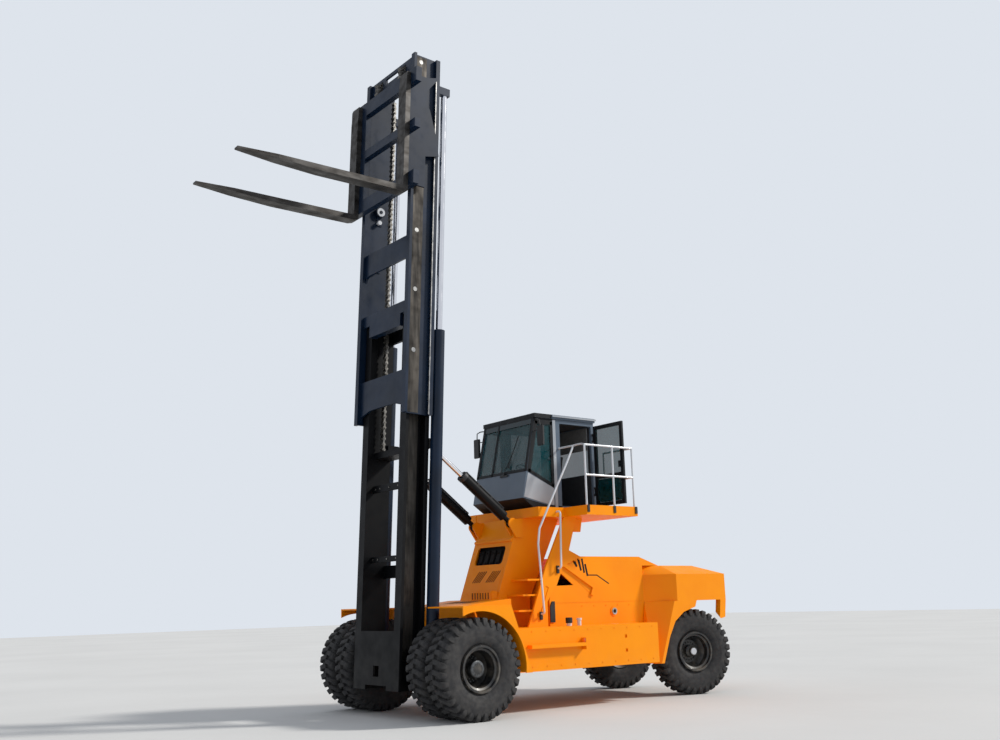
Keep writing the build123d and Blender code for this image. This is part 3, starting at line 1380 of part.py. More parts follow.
def moving_mast():
    """The upper mast: rails, cross-plates, rollers and the lift rods' heads."""
    rail = block(MOVING_REAR, MOVING_FRONT, MOVING_INNER_Y, MOVING_INNER_Y + WEB, MOVING_BOTTOM, MOVING_TOP)
    rail = rail + block(
        MOVING_FRONT - FRONT_FLANGE, MOVING_FRONT, MOVING_INNER_Y, MOVING_OUTER_Y, MOVING_BOTTOM, MOVING_TOP
    )
    rail = rail + block(
        MOVING_REAR, MOVING_REAR + REAR_FLANGE, MOVING_INNER_Y, MOVING_OUTER_Y, MOVING_BOTTOM, MOVING_TOP
    )
    roller_x = (FIXED_REAR + REAR_FLANGE + FIXED_FRONT - FRONT_FLANGE) / 2
    roller_r = (FIXED_FRONT - FRONT_FLANGE - FIXED_REAR - REAR_FLANGE) / 2 - RUN_GAP
    for z in (MOVING_BOTTOM + 250, MOVING_BOTTOM + 1500):
        rail = rail + bar((roller_x, FIXED_INNER_Y + WEB + 20, z), (roller_x, FIXED_OUTER_Y - 5, z), roller_r)
        rail = rail + bar((roller_x, FIXED_OUTER_Y - 20, z), (roller_x, MOVING_INNER_Y + 10, z), 70)
    head = block(
        LIFT_X - 90, MOVING_REAR + REAR_FLANGE, MOVING_INNER_Y, MOVING_OUTER_Y, LIFT_ROD_TOP, LIFT_ROD_TOP + 150
    )
    rail = rail + head
    rails = rail + mirrored(rail)
    plate_x0 = CROSS_PLATE_FRONT - CROSS_PLATE
    for outline in cross_plates():
        rails = rails + across(outline, plate_x0, CROSS_PLATE_FRONT)
    box_low = MOVING_BOTTOM + 1620
    rails = rails + block(
        plate_x0 - 100, CROSS_PLATE_FRONT, RUN_GAP - FIXED_INNER_Y, FIXED_INNER_Y - RUN_GAP, box_low, box_low + 240
    )
    beam = block(PULLEY_X - 60, plate_x0, -MOVING_INNER_Y, MOVING_INNER_Y, PULLEY_Z - 60, PULLEY_Z + 60)
    for sign in (-1, 1):
        gap = CHAIN_WIDTH / 2 + RUN_GAP
        beam = beam - block(
            PULLEY_X - 70, plate_x0 + 50, sign * CHAIN_Y - gap, sign * CHAIN_Y + gap, PULLEY_Z - 70, PULLEY_Z + 70
        )
    slots = []
    for sign in (-1, 1):
        gap = CHAIN_WIDTH / 2 + RUN_GAP
        slots.append(
            block(
                plate_x0 - 10,
                CROSS_PLATE_FRONT + 10,
                sign * CHAIN_Y - gap,
                sign * CHAIN_Y + gap,
                PULLEY_Z - PULLEY_RADIUS - 60,
                PULLEY_Z + PULLEY_RADIUS + 30,
            )
        )
    window = block(
        plate_x0 - 1, CROSS_PLATE_FRONT + 1, -HEAD_WINDOW_HALF, HEAD_WINDOW_HALF, MOVING_TOP - 180, MOVING_TOP - 70
    )
    return rails + beam - slots[0] - slots[1] - window


def pulleys():
    """The two chain pulleys on their axle in the head of the moving mast."""
    found = []
    for sign in (-1, 1):
        y0 = sign * CHAIN_Y - CHAIN_WIDTH / 2
        y1 = sign * CHAIN_Y + CHAIN_WIDTH / 2
        found.append(bar((PULLEY_X, y0, PULLEY_Z), (PULLEY_X, y1, PULLEY_Z), PULLEY_RADIUS - CHAIN_THICK / 2))
    return together(*found)


def lift_rods():
    """The chromed lift rods."""
    rod = bar((LIFT_X, LIFT_Y, LIFT_ROD_BOTTOM), (LIFT_X, LIFT_Y, LIFT_ROD_TOP), LIFT_ROD_RADIUS)
    top = LIFT_ROD_BOTTOM + PISTON_LENGTH
    piston = bar((LIFT_X, LIFT_Y, LIFT_ROD_BOTTOM), (LIFT_X, LIFT_Y, top), LIFT_BORE_RADIUS - SHAFT_GAP)
    return both_sides(rod + piston)


def chain_strand(x, low, high):
    """Both leaf chains' strands at one distance forward, waisted between their link plates."""
    half = CHAIN_WIDTH / 2
    links = round((high - low) / CHAIN_PITCH)
    pitch = (high - low) / links
    edge = []
    for step in range(links):
        edge.append((half - CHAIN_WAIST, low + pitch * step))
        edge.append((half, low + pitch * (step + 0.5)))
    edge.append((half - CHAIN_WAIST, high))
    outline = [(CHAIN_Y + y, z) for y, z in edge] + [(CHAIN_Y - y, z) for y, z in reversed(edge)]
    return both_sides(across(outline, x - CHAIN_THICK / 2, x + CHAIN_THICK / 2))


def carriage():
    """The fork carriage: arms round the moving rails, beams and fork shafts."""
    arm = block(
        MOVING_FRONT - CARRIAGE_BEAM,
        CARRIAGE_REAR + 40,
        CARRIAGE_ARM_Y,
        CARRIAGE_ARM_Y + CARRIAGE_ARM_WALL,
        CARRIAGE_BOTTOM + 100,
        CARRIAGE_TOP,
    )
    roller_x = MOVING_FRONT - FRONT_FLANGE - SEAT_GAP - CARRIAGE_ROLLER_RADIUS
    for z in (CARRIAGE_BOTTOM + 260, CARRIAGE_TOP - 160):
        arm = arm + bar((roller_x, MOVING_INNER_Y + WEB + 8, z), (roller_x, CARRIAGE_ARM_Y + 10, z), CARRIAGE_ROLLER_RADIUS)
    upright = block(
        CARRIAGE_REAR, CARRIAGE_FRONT, CARRIAGE_UPRIGHT_Y, CARRIAGE_ARM_Y + CARRIAGE_ARM_WALL, CARRIAGE_BOTTOM, CARRIAGE_TOP
    )
    wing = slab(
        [
            (MOVING_FRONT - 130, CARRIAGE_BOTTOM + 676),
            (CARRIAGE_WING_REAR, CARRIAGE_BOTTOM + 790),
            (CARRIAGE_WING_REAR + 50, CARRIAGE_BOTTOM + 1112),
            (CARRIAGE_WING_REAR + 220, CARRIAGE_BOTTOM + 1668),
            (MOVING_FRONT - 160, CARRIAGE_TOP - 407),
            (CARRIAGE_WING_REAR + 15, CARRIAGE_TOP + 90),
            (MOVING_FRONT - 130, CARRIAGE_TOP - 41),
        ],
        CARRIAGE_ARM_Y + 15,
        CARRIAGE_ARM_Y + CARRIAGE_ARM_WALL,
    )
    side = arm + upright + wing
    frame = side + mirrored(side)
    middle = CARRIAGE_TOP - 1200
    for low, high in (
        (CARRIAGE_BOTTOM, CARRIAGE_BOTTOM + CARRIAGE_BEAM),
        (middle, middle + 170),
        (CARRIAGE_TOP - 280, CARRIAGE_TOP),
    ):
        frame = frame + block(CARRIAGE_REAR, CARRIAGE_FRONT, -CARRIAGE_HALF_WIDTH, CARRIAGE_HALF_WIDTH, low, high)
    anchor = block(
        CHAIN_FRONT_X - 10,
        CHAIN_FRONT_X + 40,
        CHAIN_Y - CHAIN_WIDTH / 2,
        CHAIN_Y + CHAIN_WIDTH / 2,
        CARRIAGE_TOP - 60,
        CARRIAGE_TOP + 20,
    )
    return frame + anchor + mirrored(anchor)


def fork():
    """The left fork: shank on the carriage and a level tapered blade."""
    y0, y1 = FORK_Y - FORK_WIDTH / 2, FORK_Y + FORK_WIDTH / 2
    heel_x = FORK_HEEL_X + FORK_SHANK_THICK
    tilt = math.radians(MAST_LEAN)
    run = FORK_LENGTH * math.cos(tilt)
    drop = FORK_LENGTH * math.sin(tilt)
    taper = FORK_TAPER_LENGTH / FORK_LENGTH

    def down(x, z, depth):
        """A point below the blade's top face, square to it."""
        return x - depth * math.sin(tilt), z - depth * math.cos(tilt)

    heel = (heel_x, FORK_TOP_LOCAL)
    tip = (heel_x + run, FORK_TOP_LOCAL - drop)
    bend = (heel_x + run * (1 - taper), FORK_TOP_LOCAL - drop * (1 - taper))
    outline = [
        heel,
        tip,
        down(*tip, FORK_TIP_THICK),
        down(*bend, FORK_THICK),
        down(heel_x, FORK_TOP_LOCAL, FORK_THICK),
        (FORK_HEEL_X, FORK_TOP_LOCAL - FORK_THICK + 30),
        (FORK_HEEL_X, CARRIAGE_TOP - 60),
        (heel_x - 20, CARRIAGE_TOP - 60),
        (heel_x, CARRIAGE_TOP - 400),
    ]
    blade = slab(outline, y0, y1)
    far_x = heel_x + run + 10
    near_x = heel_x + run - 700
    edge = (FORK_WIDTH - FORK_TIP_WIDTH) / 2
    for sign, y in ((1, y1), (-1, y0)):
        cut = floor_plan([(near_x, y), (far_x, y - sign * edge), (far_x, y + sign * 50), (near_x, y + sign * 50)],
                         FORK_TOP_LOCAL - 600, FORK_TOP_LOCAL + 300)
        blade = blade - cut
    return blade


def tilt_place(along):
    """A point on the tilt cylinder's centre line, that far from its rear pin."""
    ex, ez = leaned_point(TILT_EYE_X, TILT_EYE_Z)
    dx, dz = ex - TILT_PIN_X, ez - TILT_PIN_Z
    length = math.hypot(dx, dz)
    return TILT_PIN_X + dx * along / length, TILT_PIN_Z + dz * along / length, length


def tilt_cylinder():
    """The left tilt cylinder: barrel on the tower, rod towards the mast."""
    y = TILT_Y
    x0, z0, length = tilt_place(0)
    x1, z1, _ = tilt_place(TILT_BARREL_LENGTH)
    half = TILT_EYE_WIDTH / 2
    xs, zs, _ = tilt_place(TILT_EYE_RADIUS + 130)
    barrel = bar((xs, y, zs), (x1, y, z1), TILT_BARREL_RADIUS)
    neck = bar((x0, y, z0), (xs, y, zs), half)
    eye = bar((x0, y - half, z0), (x0, y + half, z0), TILT_EYE_RADIUS)
    pin_hole = bar((x0, y - half - 1, z0), (x0, y + half + 1, z0), TILT_PIN_RADIUS + SHAFT_GAP)
    xb, zb, _ = tilt_place(TILT_EYE_RADIUS + 130 + TILT_END_WALL)
    xc, zc, _ = tilt_place(TILT_BARREL_LENGTH - GLAND_LENGTH)
    xd, zd, _ = tilt_place(TILT_BARREL_LENGTH + 1)
    bore = bar((xb, y, zb), (xc, y, zc), TILT_BORE_RADIUS)
    bore = bore + bar((xb, y, zb), (xd, y, zd), TILT_ROD_RADIUS + SHAFT_GAP)
    barrel = barrel + neck + eye - pin_hole - bore
    xr, zr, _ = tilt_place(TILT_BARREL_LENGTH - TILT_ROD_INSIDE)
    xp, zp, _ = tilt_place(TILT_BARREL_LENGTH - TILT_ROD_INSIDE + PISTON_LENGTH)
    xe, ze, _ = tilt_place(length)
    rod = bar((xr, y, zr), (xe, y, ze), TILT_ROD_RADIUS)
    rod = rod + bar((xr, y, zr), (xp, y, zp), TILT_BORE_RADIUS - SHAFT_GAP)
    tip = bar((xe, y - half, ze), (xe, y + half, ze), TILT_EYE_RADIUS)
    return barrel, rod + tip


def build():
    """Make every node."""
    single, tyres, rims = front_wheel()
    keep("tyres_front_left", tyres)
    keep("rims_front_left", rims)
    keep("tyres_front_right", mirrored(tyres))
    keep("rims_front_right", mirrored(rims))
    keep("drive_axle", drive_axle())
    keep("rear_axle_beam", rear_beam())
    rear_tyre, rear_rim = rear_wheel(single)
    pivot = knuckle()
    for name, side in (("left", 1), ("right", -1)):
        parts = (pivot, rear_tyre, rear_rim)
        if side < 0:
            parts = tuple(mirrored(piece) for piece in parts)
        for node, piece in zip(("knuckle", "tyre_rear", "rim_rear"), parts):
            keep(f"{node}_{name}", steered(piece, side))
    keep("chassis_frame", chassis_frame())
    keep("fender_left", fender())
    keep("fender_right", mirrored(fender()))
    keep("side_box_left", side_box())
    keep("side_box_right", mirrored(side_box()))
    keep("hood", hood())
    keep("engine", block(
        ENGINE_FRONT - ENGINE_LENGTH,
        ENGINE_FRONT,
        -ENGINE_HALF_WIDTH,
        ENGINE_HALF_WIDTH,
        ENGINE_BOTTOM,
        ENGINE_BOTTOM + ENGINE_HEIGHT,
    ))
    keep("front_deck", front_deck())
    keep("filler_necks", filler_necks())
    keep("stair_treads", stair_treads())
    keep("tower", tower())
    keep("side_legs", both_sides(legs()))
    keep("cab_base", cab_base())
    cab_names = ("cab_nose", "cab_frame", "cab_right_wall", "cab_rear_wall", "cab_roof", "cab_floor")
    for name, piece in zip(cab_names, cab_pieces()):
        keep(name, piece)
    keep("cab_glass", cab_glass())
    frame, panes = cab_door()
    keep("door_frame", frame)
    keep("door_glass", panes)
    keep("door_hinges", door_hinges())
    keep("seat", seat())
    keep("console", console())
    keep("steering_wheel", steering_wheel())
    keep("handrails", handrails())
    keep("counterweight", counterweight())
    keep("fixed_mast", lean(fixed_mast()))
    keep("lift_barrels", lean(lift_barrels()))
    keep("moving_mast", lean(moving_mast()))
    keep("chain_pulleys", lean(pulleys()))
    keep("lift_rods", lean(lift_rods()))
    keep("chains_back", lean(chain_strand(CHAIN_BACK_X, CHAIN_ANCHOR_Z - 20, PULLEY_Z)))
    keep("carriage", lean(carriage()))
    keep("fork_left", lean(fork()))
    keep("fork_right", lean(mirrored(fork())))
    barrel, rod = tilt_cylinder()
    keep("tilt_barrel_left", barrel)
    keep("tilt_rod_left", rod)
    keep("tilt_barrel_right", mirrored(barrel))
    keep("tilt_rod_right", mirrored(rod))


build()
os.makedirs("parts", exist_ok=True)
for node, shape in nodes.items():
    export_step(shape, f"parts/{node}.step")
print("front axle x", round(FRONT_AXLE_X, 3), "fork top local", round(FORK_TOP_LOCAL, 3))
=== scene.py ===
"""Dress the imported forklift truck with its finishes, tyres, chains, fittings, light and camera."""

from __future__ import annotations

import json
import logging
import math
from dataclasses import dataclass
from enum import Enum
from typing import Sequence

import bmesh
import bpy
from mathutils import Matrix, Vector

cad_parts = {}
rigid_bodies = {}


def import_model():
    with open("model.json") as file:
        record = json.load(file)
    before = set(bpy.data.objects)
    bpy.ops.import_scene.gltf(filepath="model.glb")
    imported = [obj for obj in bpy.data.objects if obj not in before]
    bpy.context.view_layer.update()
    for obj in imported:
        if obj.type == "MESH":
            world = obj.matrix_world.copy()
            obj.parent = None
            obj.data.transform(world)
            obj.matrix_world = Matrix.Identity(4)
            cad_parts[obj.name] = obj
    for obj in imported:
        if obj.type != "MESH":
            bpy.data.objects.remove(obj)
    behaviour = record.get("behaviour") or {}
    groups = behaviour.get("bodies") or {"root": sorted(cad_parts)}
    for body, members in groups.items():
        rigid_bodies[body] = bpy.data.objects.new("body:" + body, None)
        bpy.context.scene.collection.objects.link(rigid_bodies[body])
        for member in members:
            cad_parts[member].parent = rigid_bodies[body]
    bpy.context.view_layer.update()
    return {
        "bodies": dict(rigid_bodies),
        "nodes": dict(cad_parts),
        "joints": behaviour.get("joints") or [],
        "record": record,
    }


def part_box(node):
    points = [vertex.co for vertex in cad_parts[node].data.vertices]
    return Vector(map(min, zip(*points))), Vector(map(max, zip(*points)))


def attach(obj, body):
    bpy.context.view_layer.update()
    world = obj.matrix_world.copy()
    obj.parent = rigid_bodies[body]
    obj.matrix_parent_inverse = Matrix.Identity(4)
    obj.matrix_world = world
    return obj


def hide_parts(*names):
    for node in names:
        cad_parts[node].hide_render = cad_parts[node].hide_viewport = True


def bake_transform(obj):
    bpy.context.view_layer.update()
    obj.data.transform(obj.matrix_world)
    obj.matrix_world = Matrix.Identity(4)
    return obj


LOG = logging.getLogger("forklift")

Point = tuple[float, float, float]
Pair = tuple[float, float]
Colour = tuple[int, int, int]
Mesh = bpy.types.Mesh
Material = bpy.types.Material
Socket = bpy.types.NodeSocket
Placed = tuple[Mesh, Matrix]

AXLE_Z = 0.8075
MAST_LEAN = math.radians(2.48)
MIRROR_Y = Matrix.Diagonal((1, -1, 1, 1))
DUST = (150, 140, 125)
GLASS_FILM = (150, 165, 160)
LENS_GLINT = (250, 235, 220)


def linear(colour: Colour) -> tuple[float, float, float, float]:
    """Turn an sRGB colour into the linear one that shaders take.

    Args:
        colour: red, green and blue from 0 to 255.

    Returns:
        Linear red, green, blue and an alpha of 1.
    """
    parts = [c / 255 for c in colour]
    low = [c / 12.92 if c <= 0.04045 else ((c + 0.055) / 1.055) ** 2.4 for c in parts]
    return (low[0], low[1], low[2], 1.0)


def linked(name: str, data: bpy.types.ID) -> bpy.types.Object:
    """A new object in the scene's own collection.

    Args:
        name: its name.
        data: its mesh, camera or light.

    Returns:
        The object.
    """
    obj = bpy.data.objects.new(name, data)
    bpy.context.scene.collection.objects.link(obj)
    return obj


def baked(obj: bpy.types.Object) -> Mesh:
    """An object's mesh with its modifiers applied."""
    bpy.context.view_layer.update()
    return bpy.data.meshes.new_from_object(obj.evaluated_get(bpy.context.evaluated_depsgraph_get()))


# Finishes


class NodeSheet:
    """A material's node tree, with short ways to add and join nodes."""

    def __init__(self, name: str) -> None:
        """Start a material with a Principled shader and its output."""
        self.material = bpy.data.materials.new(name)
        self.material.use_nodes = True
        self.tree = self.material.node_tree
        self.tree.nodes.clear()
        self.shader = self.add("ShaderNodeBsdfPrincipled")
        output = self.add("ShaderNodeOutputMaterial")
        self.join(self.shader.outputs["BSDF"], output.inputs["Surface"])
        self.place = self.add("ShaderNodeTexCoord").outputs["Object"]

    def add(self, kind: str, **values: object) -> bpy.types.Node:
        """Add a node and set its properties.

        Args:
            kind: the node's type.
            values: its properties by name.

        Returns:
            The node.
        """
        node = self.tree.nodes.new(kind)
        for key, value in values.items():
            setattr(node, key, value)
        return node

    def join(self, source: Socket, target: Socket) -> None:
        """Link an output to an input."""
        self.tree.links.new(source, target)

    def noise(self, scale: float, detail: float = 4.0, stretch: Point = (1, 1, 1)) -> Socket:
        """Noise on the piece's own coordinates.

        Args:
            scale: how fine it is, per metre.
            detail: how many finer layers it has.
            stretch: how much finer it is along each axis.

        Returns:
            The noise's value, about 0.5 on average.
        """
        place = self.add("ShaderNodeMapping")
        place.inputs["Scale"].default_value = stretch
        self.join(self.place, place.inputs["Vector"])
        node = self.add("ShaderNodeTexNoise")
        node.inputs["Scale"].default_value = scale
        node.inputs["Detail"].default_value = detail
        self.join(place.outputs["Vector"], node.inputs["Vector"])
        return node.outputs["Fac"]

    def ranged(self, value: Socket, source: Pair, to: Pair) -> Socket:
        """Map a value from one range to another, clamped.

        Args:
            value: what is mapped.
            source: the range it comes from.
            to: the range it goes to.

        Returns:
            The mapped value.
        """
        node = self.add("ShaderNodeMapRange")
        for key, number in zip(("From Min", "From Max", "To Min", "To Max"), (*source, *to)):
            node.inputs[key].default_value = number
        self.join(value, node.inputs["Value"])
        return node.outputs["Result"]

    def blend(self, share: Socket, first: object, second: object) -> Socket:
        """Mix two colours, each a colour or a socket.

        Args:
            share: how much of the second there is.
            first: the first colour.
            second: the second colour.

        Returns:
            The mixed colour.
        """
        node = self.add("ShaderNodeMix", data_type="RGBA")
        self.join(share, node.inputs["Factor"])
        for key, value in (("A", first), ("B", second)):
            socket = [s for s in node.inputs if s.name == key and s.type == "RGBA"][0]
            if isinstance(value, Socket):
                self.join(value, socket)
            else:
                socket.default_value = value
        return [s for s in node.outputs if s.type == "RGBA"][0]

    def times(self, first: Socket, second: Socket) -> Socket:
        """Multiply two values.

        Args:
            first: one value.
            second: the other.

        Returns:
            Their product.
        """
        node = self.add("ShaderNodeMath", operation="MULTIPLY")
        self.join(first, node.inputs[0])
        self.join(second, node.inputs[1])
        return node.outputs[0]

    def height(self) -> Socket:
        """How high a point is, in metres."""
        split = self.add("ShaderNodeSeparateXYZ")
        self.join(self.place, split.inputs["Vector"])
        return split.outputs["Z"]

    def bump(self, value: Socket, strength: float, distance: float) -> None:
        """Let a value raise the surface.

        Args:
            value: how high each point is.
            strength: how much of it shows.
            distance: the height it stands for, in metres.
        """
        node = self.add("ShaderNodeBump")
        node.inputs["Strength"].default_value = strength
        node.inputs["Distance"].default_value = distance
        self.join(value, node.inputs["Height"])
        self.join(node.outputs["Normal"], self.shader.inputs["Normal"])

    def mottled(
        self, noise: Socket, colour: Colour, shade: Colour, spread: Pair = (0.35, 0.7), most: float = 1.0
    ) -> Socket:
        """A colour with patches of another shade.

        Args:
            noise: what places the patches.
            colour: the main colour.
            shade: the patches' colour.
            spread: the noise's values between which a patch fades in.
            most: how much of the shade a patch takes at most.

        Returns:
            The mixed colour.
        """
        return self.blend(self.ranged(noise, spread, (0.0, most)), linear(colour), linear(shade))

    def rough(self, noise: Socket, low: float, high: float) -> None:
        """Let noise vary the roughness between two values."""
        self.join(self.ranged(noise, (0.3, 0.7), (low, high)), self.shader.inputs["Roughness"])

    def done(self, colour: Socket, **values: float) -> Material:
        """Join the colour to the shader and set its numbers.

        Args:
            colour: the surface's colour.
            values: the shader's own numbers by name, with _ for a space.

        Returns:
            The material.
        """
        self.join(colour, self.shader.inputs["Base Color"])
        for key, value in values.items():
            self.shader.inputs[key.replace("_", " ")].default_value = value
        return self.material


@dataclass(frozen=True)
class Paint:
    """Sprayed paint with faint mottling, dust low down and a rougher skin where it is dusty."""

    name: str
    colour: Colour
    shade: Colour
    roughness: float = 0.35
    coat: float = 0.4
    dust: float = 0.25
    dust_top: float = 1.6
    shine: float = 0.5

    def material(self) -> Material:
        """Make the material."""
        sheet = NodeSheet(self.name)
        colour = sheet.mottled(sheet.noise(1.6, 5), self.colour, self.shade)
        low = sheet.ranged(sheet.height(), (0.3, self.dust_top), (self.dust, 0.0))
        patches = sheet.ranged(sheet.noise(7.0, 6), (0.4, 0.75), (0.0, 1.0))
        colour = sheet.blend(sheet.times(low, patches), colour, linear(DUST))
        sheet.rough(sheet.noise(4.0, 4), self.roughness * 0.85, self.roughness * 1.25)
        sheet.bump(sheet.noise(160.0, 2), 0.04, 0.001)
        return sheet.done(colour, Coat_Weight=self.coat, Coat_Roughness=0.12, Specular_IOR_Level=self.shine)


@dataclass(frozen=True)
class Rubber:
    """Tyre rubber, dusty grey on its lugs."""

    name: str
    colour: Colour
    dust: Colour

    def material(self) -> Material:
        """Make the material."""
        sheet = NodeSheet(self.name)
        colour = sheet.mottled(sheet.noise(9.0, 7), self.colour, self.dust, (0.38, 0.72), 0.75)
        sheet.rough(sheet.noise(20.0, 3), 0.72, 0.92)
        sheet.bump(sheet.noise(70.0, 5), 0.25, 0.002)
        return sheet.done(colour)


@dataclass(frozen=True)
class Metal:
    """Bare or oiled metal with grain along one way."""

    name: str
    colour: Colour
    shade: Colour
    roughness: float
    grain: Point = (1, 1, 1)
    scale: float = 30.0
    bump: float = 0.05

    def material(self) -> Material:
        """Make the material."""
        sheet = NodeSheet(self.name)
        colour = sheet.mottled(sheet.noise(self.scale, 5, self.grain), self.colour, self.shade)
        sheet.rough(sheet.noise(self.scale * 0.4, 4), self.roughness * 0.7, self.roughness * 1.4)
        sheet.bump(sheet.noise(self.scale * 5, 3, self.grain), self.bump, 0.001)
        return sheet.done(colour, Metallic=1.0)


@dataclass(frozen=True)
class Plain:
    """Plastic, cloth or unglossed cast surface with a fine texture."""

    name: str
    colour: Colour
    shade: Colour
    roughness: float
    scale: float = 90.0
    bump: float = 0.1
    sheen: float = 0.0

    def material(self) -> Material:
        """Make the material."""
        sheet = NodeSheet(self.name)
        colour = sheet.mottled(sheet.noise(self.scale * 0.1, 4), self.colour, self.shade)
        sheet.rough(sheet.noise(self.scale, 3), self.roughness * 0.9, self.roughness * 1.1)
        sheet.bump(sheet.noise(self.scale * 3, 3), self.bump, 0.001)
        return sheet.done(colour, Sheen_Weight=self.sheen)


@dataclass(frozen=True)
class Pane:
    """Tinted window glass with a faint film of dust."""

    name: str
    colour: Colour
    alpha: float
    roughness: float = 0.03

    def material(self) -> Material:
        """Make the material."""
        sheet = NodeSheet(self.name)
        colour = sheet.mottled(sheet.noise(2.2, 3), self.colour, GLASS_FILM, (0.35, 0.8), 0.12)
        sheet.rough(sheet.noise(6.0, 3), self.roughness * 0.6, self.roughness * 1.6)
        return sheet.done(colour, Alpha=self.alpha, IOR=1.5)


@dataclass(frozen=True)
class Lens:
    """A lamp's coloured, ribbed lens."""

    name: str
    colour: Colour

    def material(self) -> Material:
        """Make the material."""
        sheet = NodeSheet(self.name)
        colour = sheet.mottled(sheet.noise(60.0, 3), self.colour, LENS_GLINT, most=0.35)
        sheet.rough(sheet.noise(40.0, 2), 0.06, 0.16)
        return sheet.done(colour, Coat_Weight=1.0)


Finish = Paint | Rubber | Metal | Plain | Pane | Lens

# Light grey for the door post and gutter covers; on the nose's side panel it is painted sunlight on the cab grey.
LIGHT_GREY_AND_SUNLIT = Paint("light_grey_enamel", (166, 172, 178), (154, 160, 167), 0.35, 0.3, 0.05, 0.8, 0.4)
GLOSS_BLACK = Paint("mast_gloss_black", (8, 9, 12), (6, 7, 9), 0.46, 0.04, 0.04, 1.2, 0.16)
WORN_STEEL = Metal("rail_worn_steel", (88, 84, 79), (46, 45, 44), 0.55, (1, 1, 0.12), 12.0, 0.08)
BRIGHT_STEEL = Metal("machined_steel", (206, 205, 201), (170, 168, 164), 0.3, (1, 1, 1), 20.0, 0.04)
HUB_GREY = Metal("hub_cast_grey", (112, 114, 116), (74, 76, 78), 0.5, (1, 1, 1), 14.0, 0.12)
GLASS_BAND = Paint("glazed_band", (8, 36, 43), (6, 30, 37), 0.12, 0.25, 0.0, 1.0, 0.4)
BLIND = Plain("roller_blind", (104, 105, 104), (92, 93, 93), 0.8, 150.0, 0.12)
LINING = Plain("cab_lining", (46, 49, 54), (38, 41, 45), 0.85, 120.0, 0.12)
PAD_CLOTH = Plain("pad_cloth", (42, 43, 47), (32, 33, 36), 0.92, 340.0, 0.35, 0.4)
SHADOW = Plain("slot_shadow", (13, 13, 14), (9, 9, 10), 0.95, 60.0, 0.02)
MIRROR_GLASS = Metal("mirror_silvered", (212, 216, 220), (205, 210, 214), 0.06, (1, 1, 1), 8.0, 0.0)
AMBER_LENS = Lens("lamp_amber", (240, 120, 20))


class Slot(Enum):
    """The record's material slots, each with its finish."""

    ORANGE = ("orange_paint", Paint("orange_enamel", (252, 151, 0), (247, 142, 0), 0.44, 0.06, 0.12, 1.0, 0.15))
    MAST = ("mast_paint", Paint("mast_navy", (12, 32, 55), (8, 24, 42), 0.4, 0.14, 0.2, 1.6, 0.25))
    AXLE = ("axle_black", Paint("axle_black_enamel", (30, 30, 32), (24, 24, 26), 0.5, 0.1, 0.7))
    ENGINE = ("engine_grey", Plain("engine_cast_grey", (78, 80, 82), (60, 62, 64), 0.6))
    CAB = ("cab_grey", Paint("cab_grey_enamel", (88, 103, 119), (80, 95, 111), 0.36, 0.3, 0.05, 0.8, 0.4))
    DOOR = ("door_black", Paint("door_black_enamel", (20, 23, 27), (16, 19, 22), 0.46, 0.05, 0.05, 0.8, 0.22))
    GLASS = ("glass", Pane("green_tint_glass", (6, 66, 72), 0.57))
    SEAT = ("seat_fabric", Plain("seat_cloth", (40, 41, 44), (32, 33, 36), 0.9, 220.0, 0.3, 0.3))
    PLASTIC = ("black_plastic", Plain("moulded_black", (32, 33, 35), (27, 28, 30), 0.5, 160.0, 0.12))
    RAIL = ("rail_silver", Paint("rail_aluminium", (222, 225, 229), (203, 207, 212), 0.3, 0.5, 0.0))
    TYRE = ("tyre", Rubber("tyre_rubber", (38, 38, 40), (64, 62, 60)))
    RIM = ("rim_black", Paint("rim_black_enamel", (30, 31, 33), (24, 25, 27), 0.38, 0.3, 0.5))
    CHROME = ("chrome", Metal("rod_chrome", (250, 250, 252), (240, 241, 245), 0.16, (1, 1, 0.1), 10.0, 0.01))
    CHAIN = ("chain_steel", Metal("chain_oiled_steel", (158, 155, 149), (98, 95, 90), 0.4, (1, 1, 1), 26.0, 0.08))
    FORK = ("fork_steel", Metal("fork_worn_steel", (92, 90, 88), (58, 55, 52), 0.5, (0.3, 1, 1), 9.0, 0.15))

    @property
    def label(self) -> str:
        """The slot's name in the record."""
        return self.value[0]


NODE_FINISHES: dict[str, Paint] = {
    "fixed_mast": GLOSS_BLACK,
    "tilt_barrel_left": GLOSS_BLACK,
    "tilt_barrel_right": GLOSS_BLACK,
}


class Wardrobe:
    """Every finish, made once, and the CAD nodes dressed in them."""

    def __init__(self, frame: dict) -> None:
        """Make each slot's material."""
        self.frame = frame
        self.by_label = {slot.label: slot.value[1].material() for slot in Slot}

    def get(self, slot: Slot) -> Material:
        """The material of a slot."""
        return self.by_label[slot.label]

    def dress_nodes(self) -> None:
        """Give every CAD node its slot's material, or its own shade of it."""
        shades = {kind.name: kind.material() for kind in set(NODE_FINISHES.values())}
        for row in self.frame["record"]["subparts"]:
            node = self.frame["nodes"][row["node"]]
            own = NODE_FINISHES.get(row["node"])
            material = shades[own.name] if own else self.by_label[row["material_slot"]]
            if not node.material_slots:
                node.data.materials.append(material)
            for place in node.material_slots:
                place.material = material


# Mesh tools


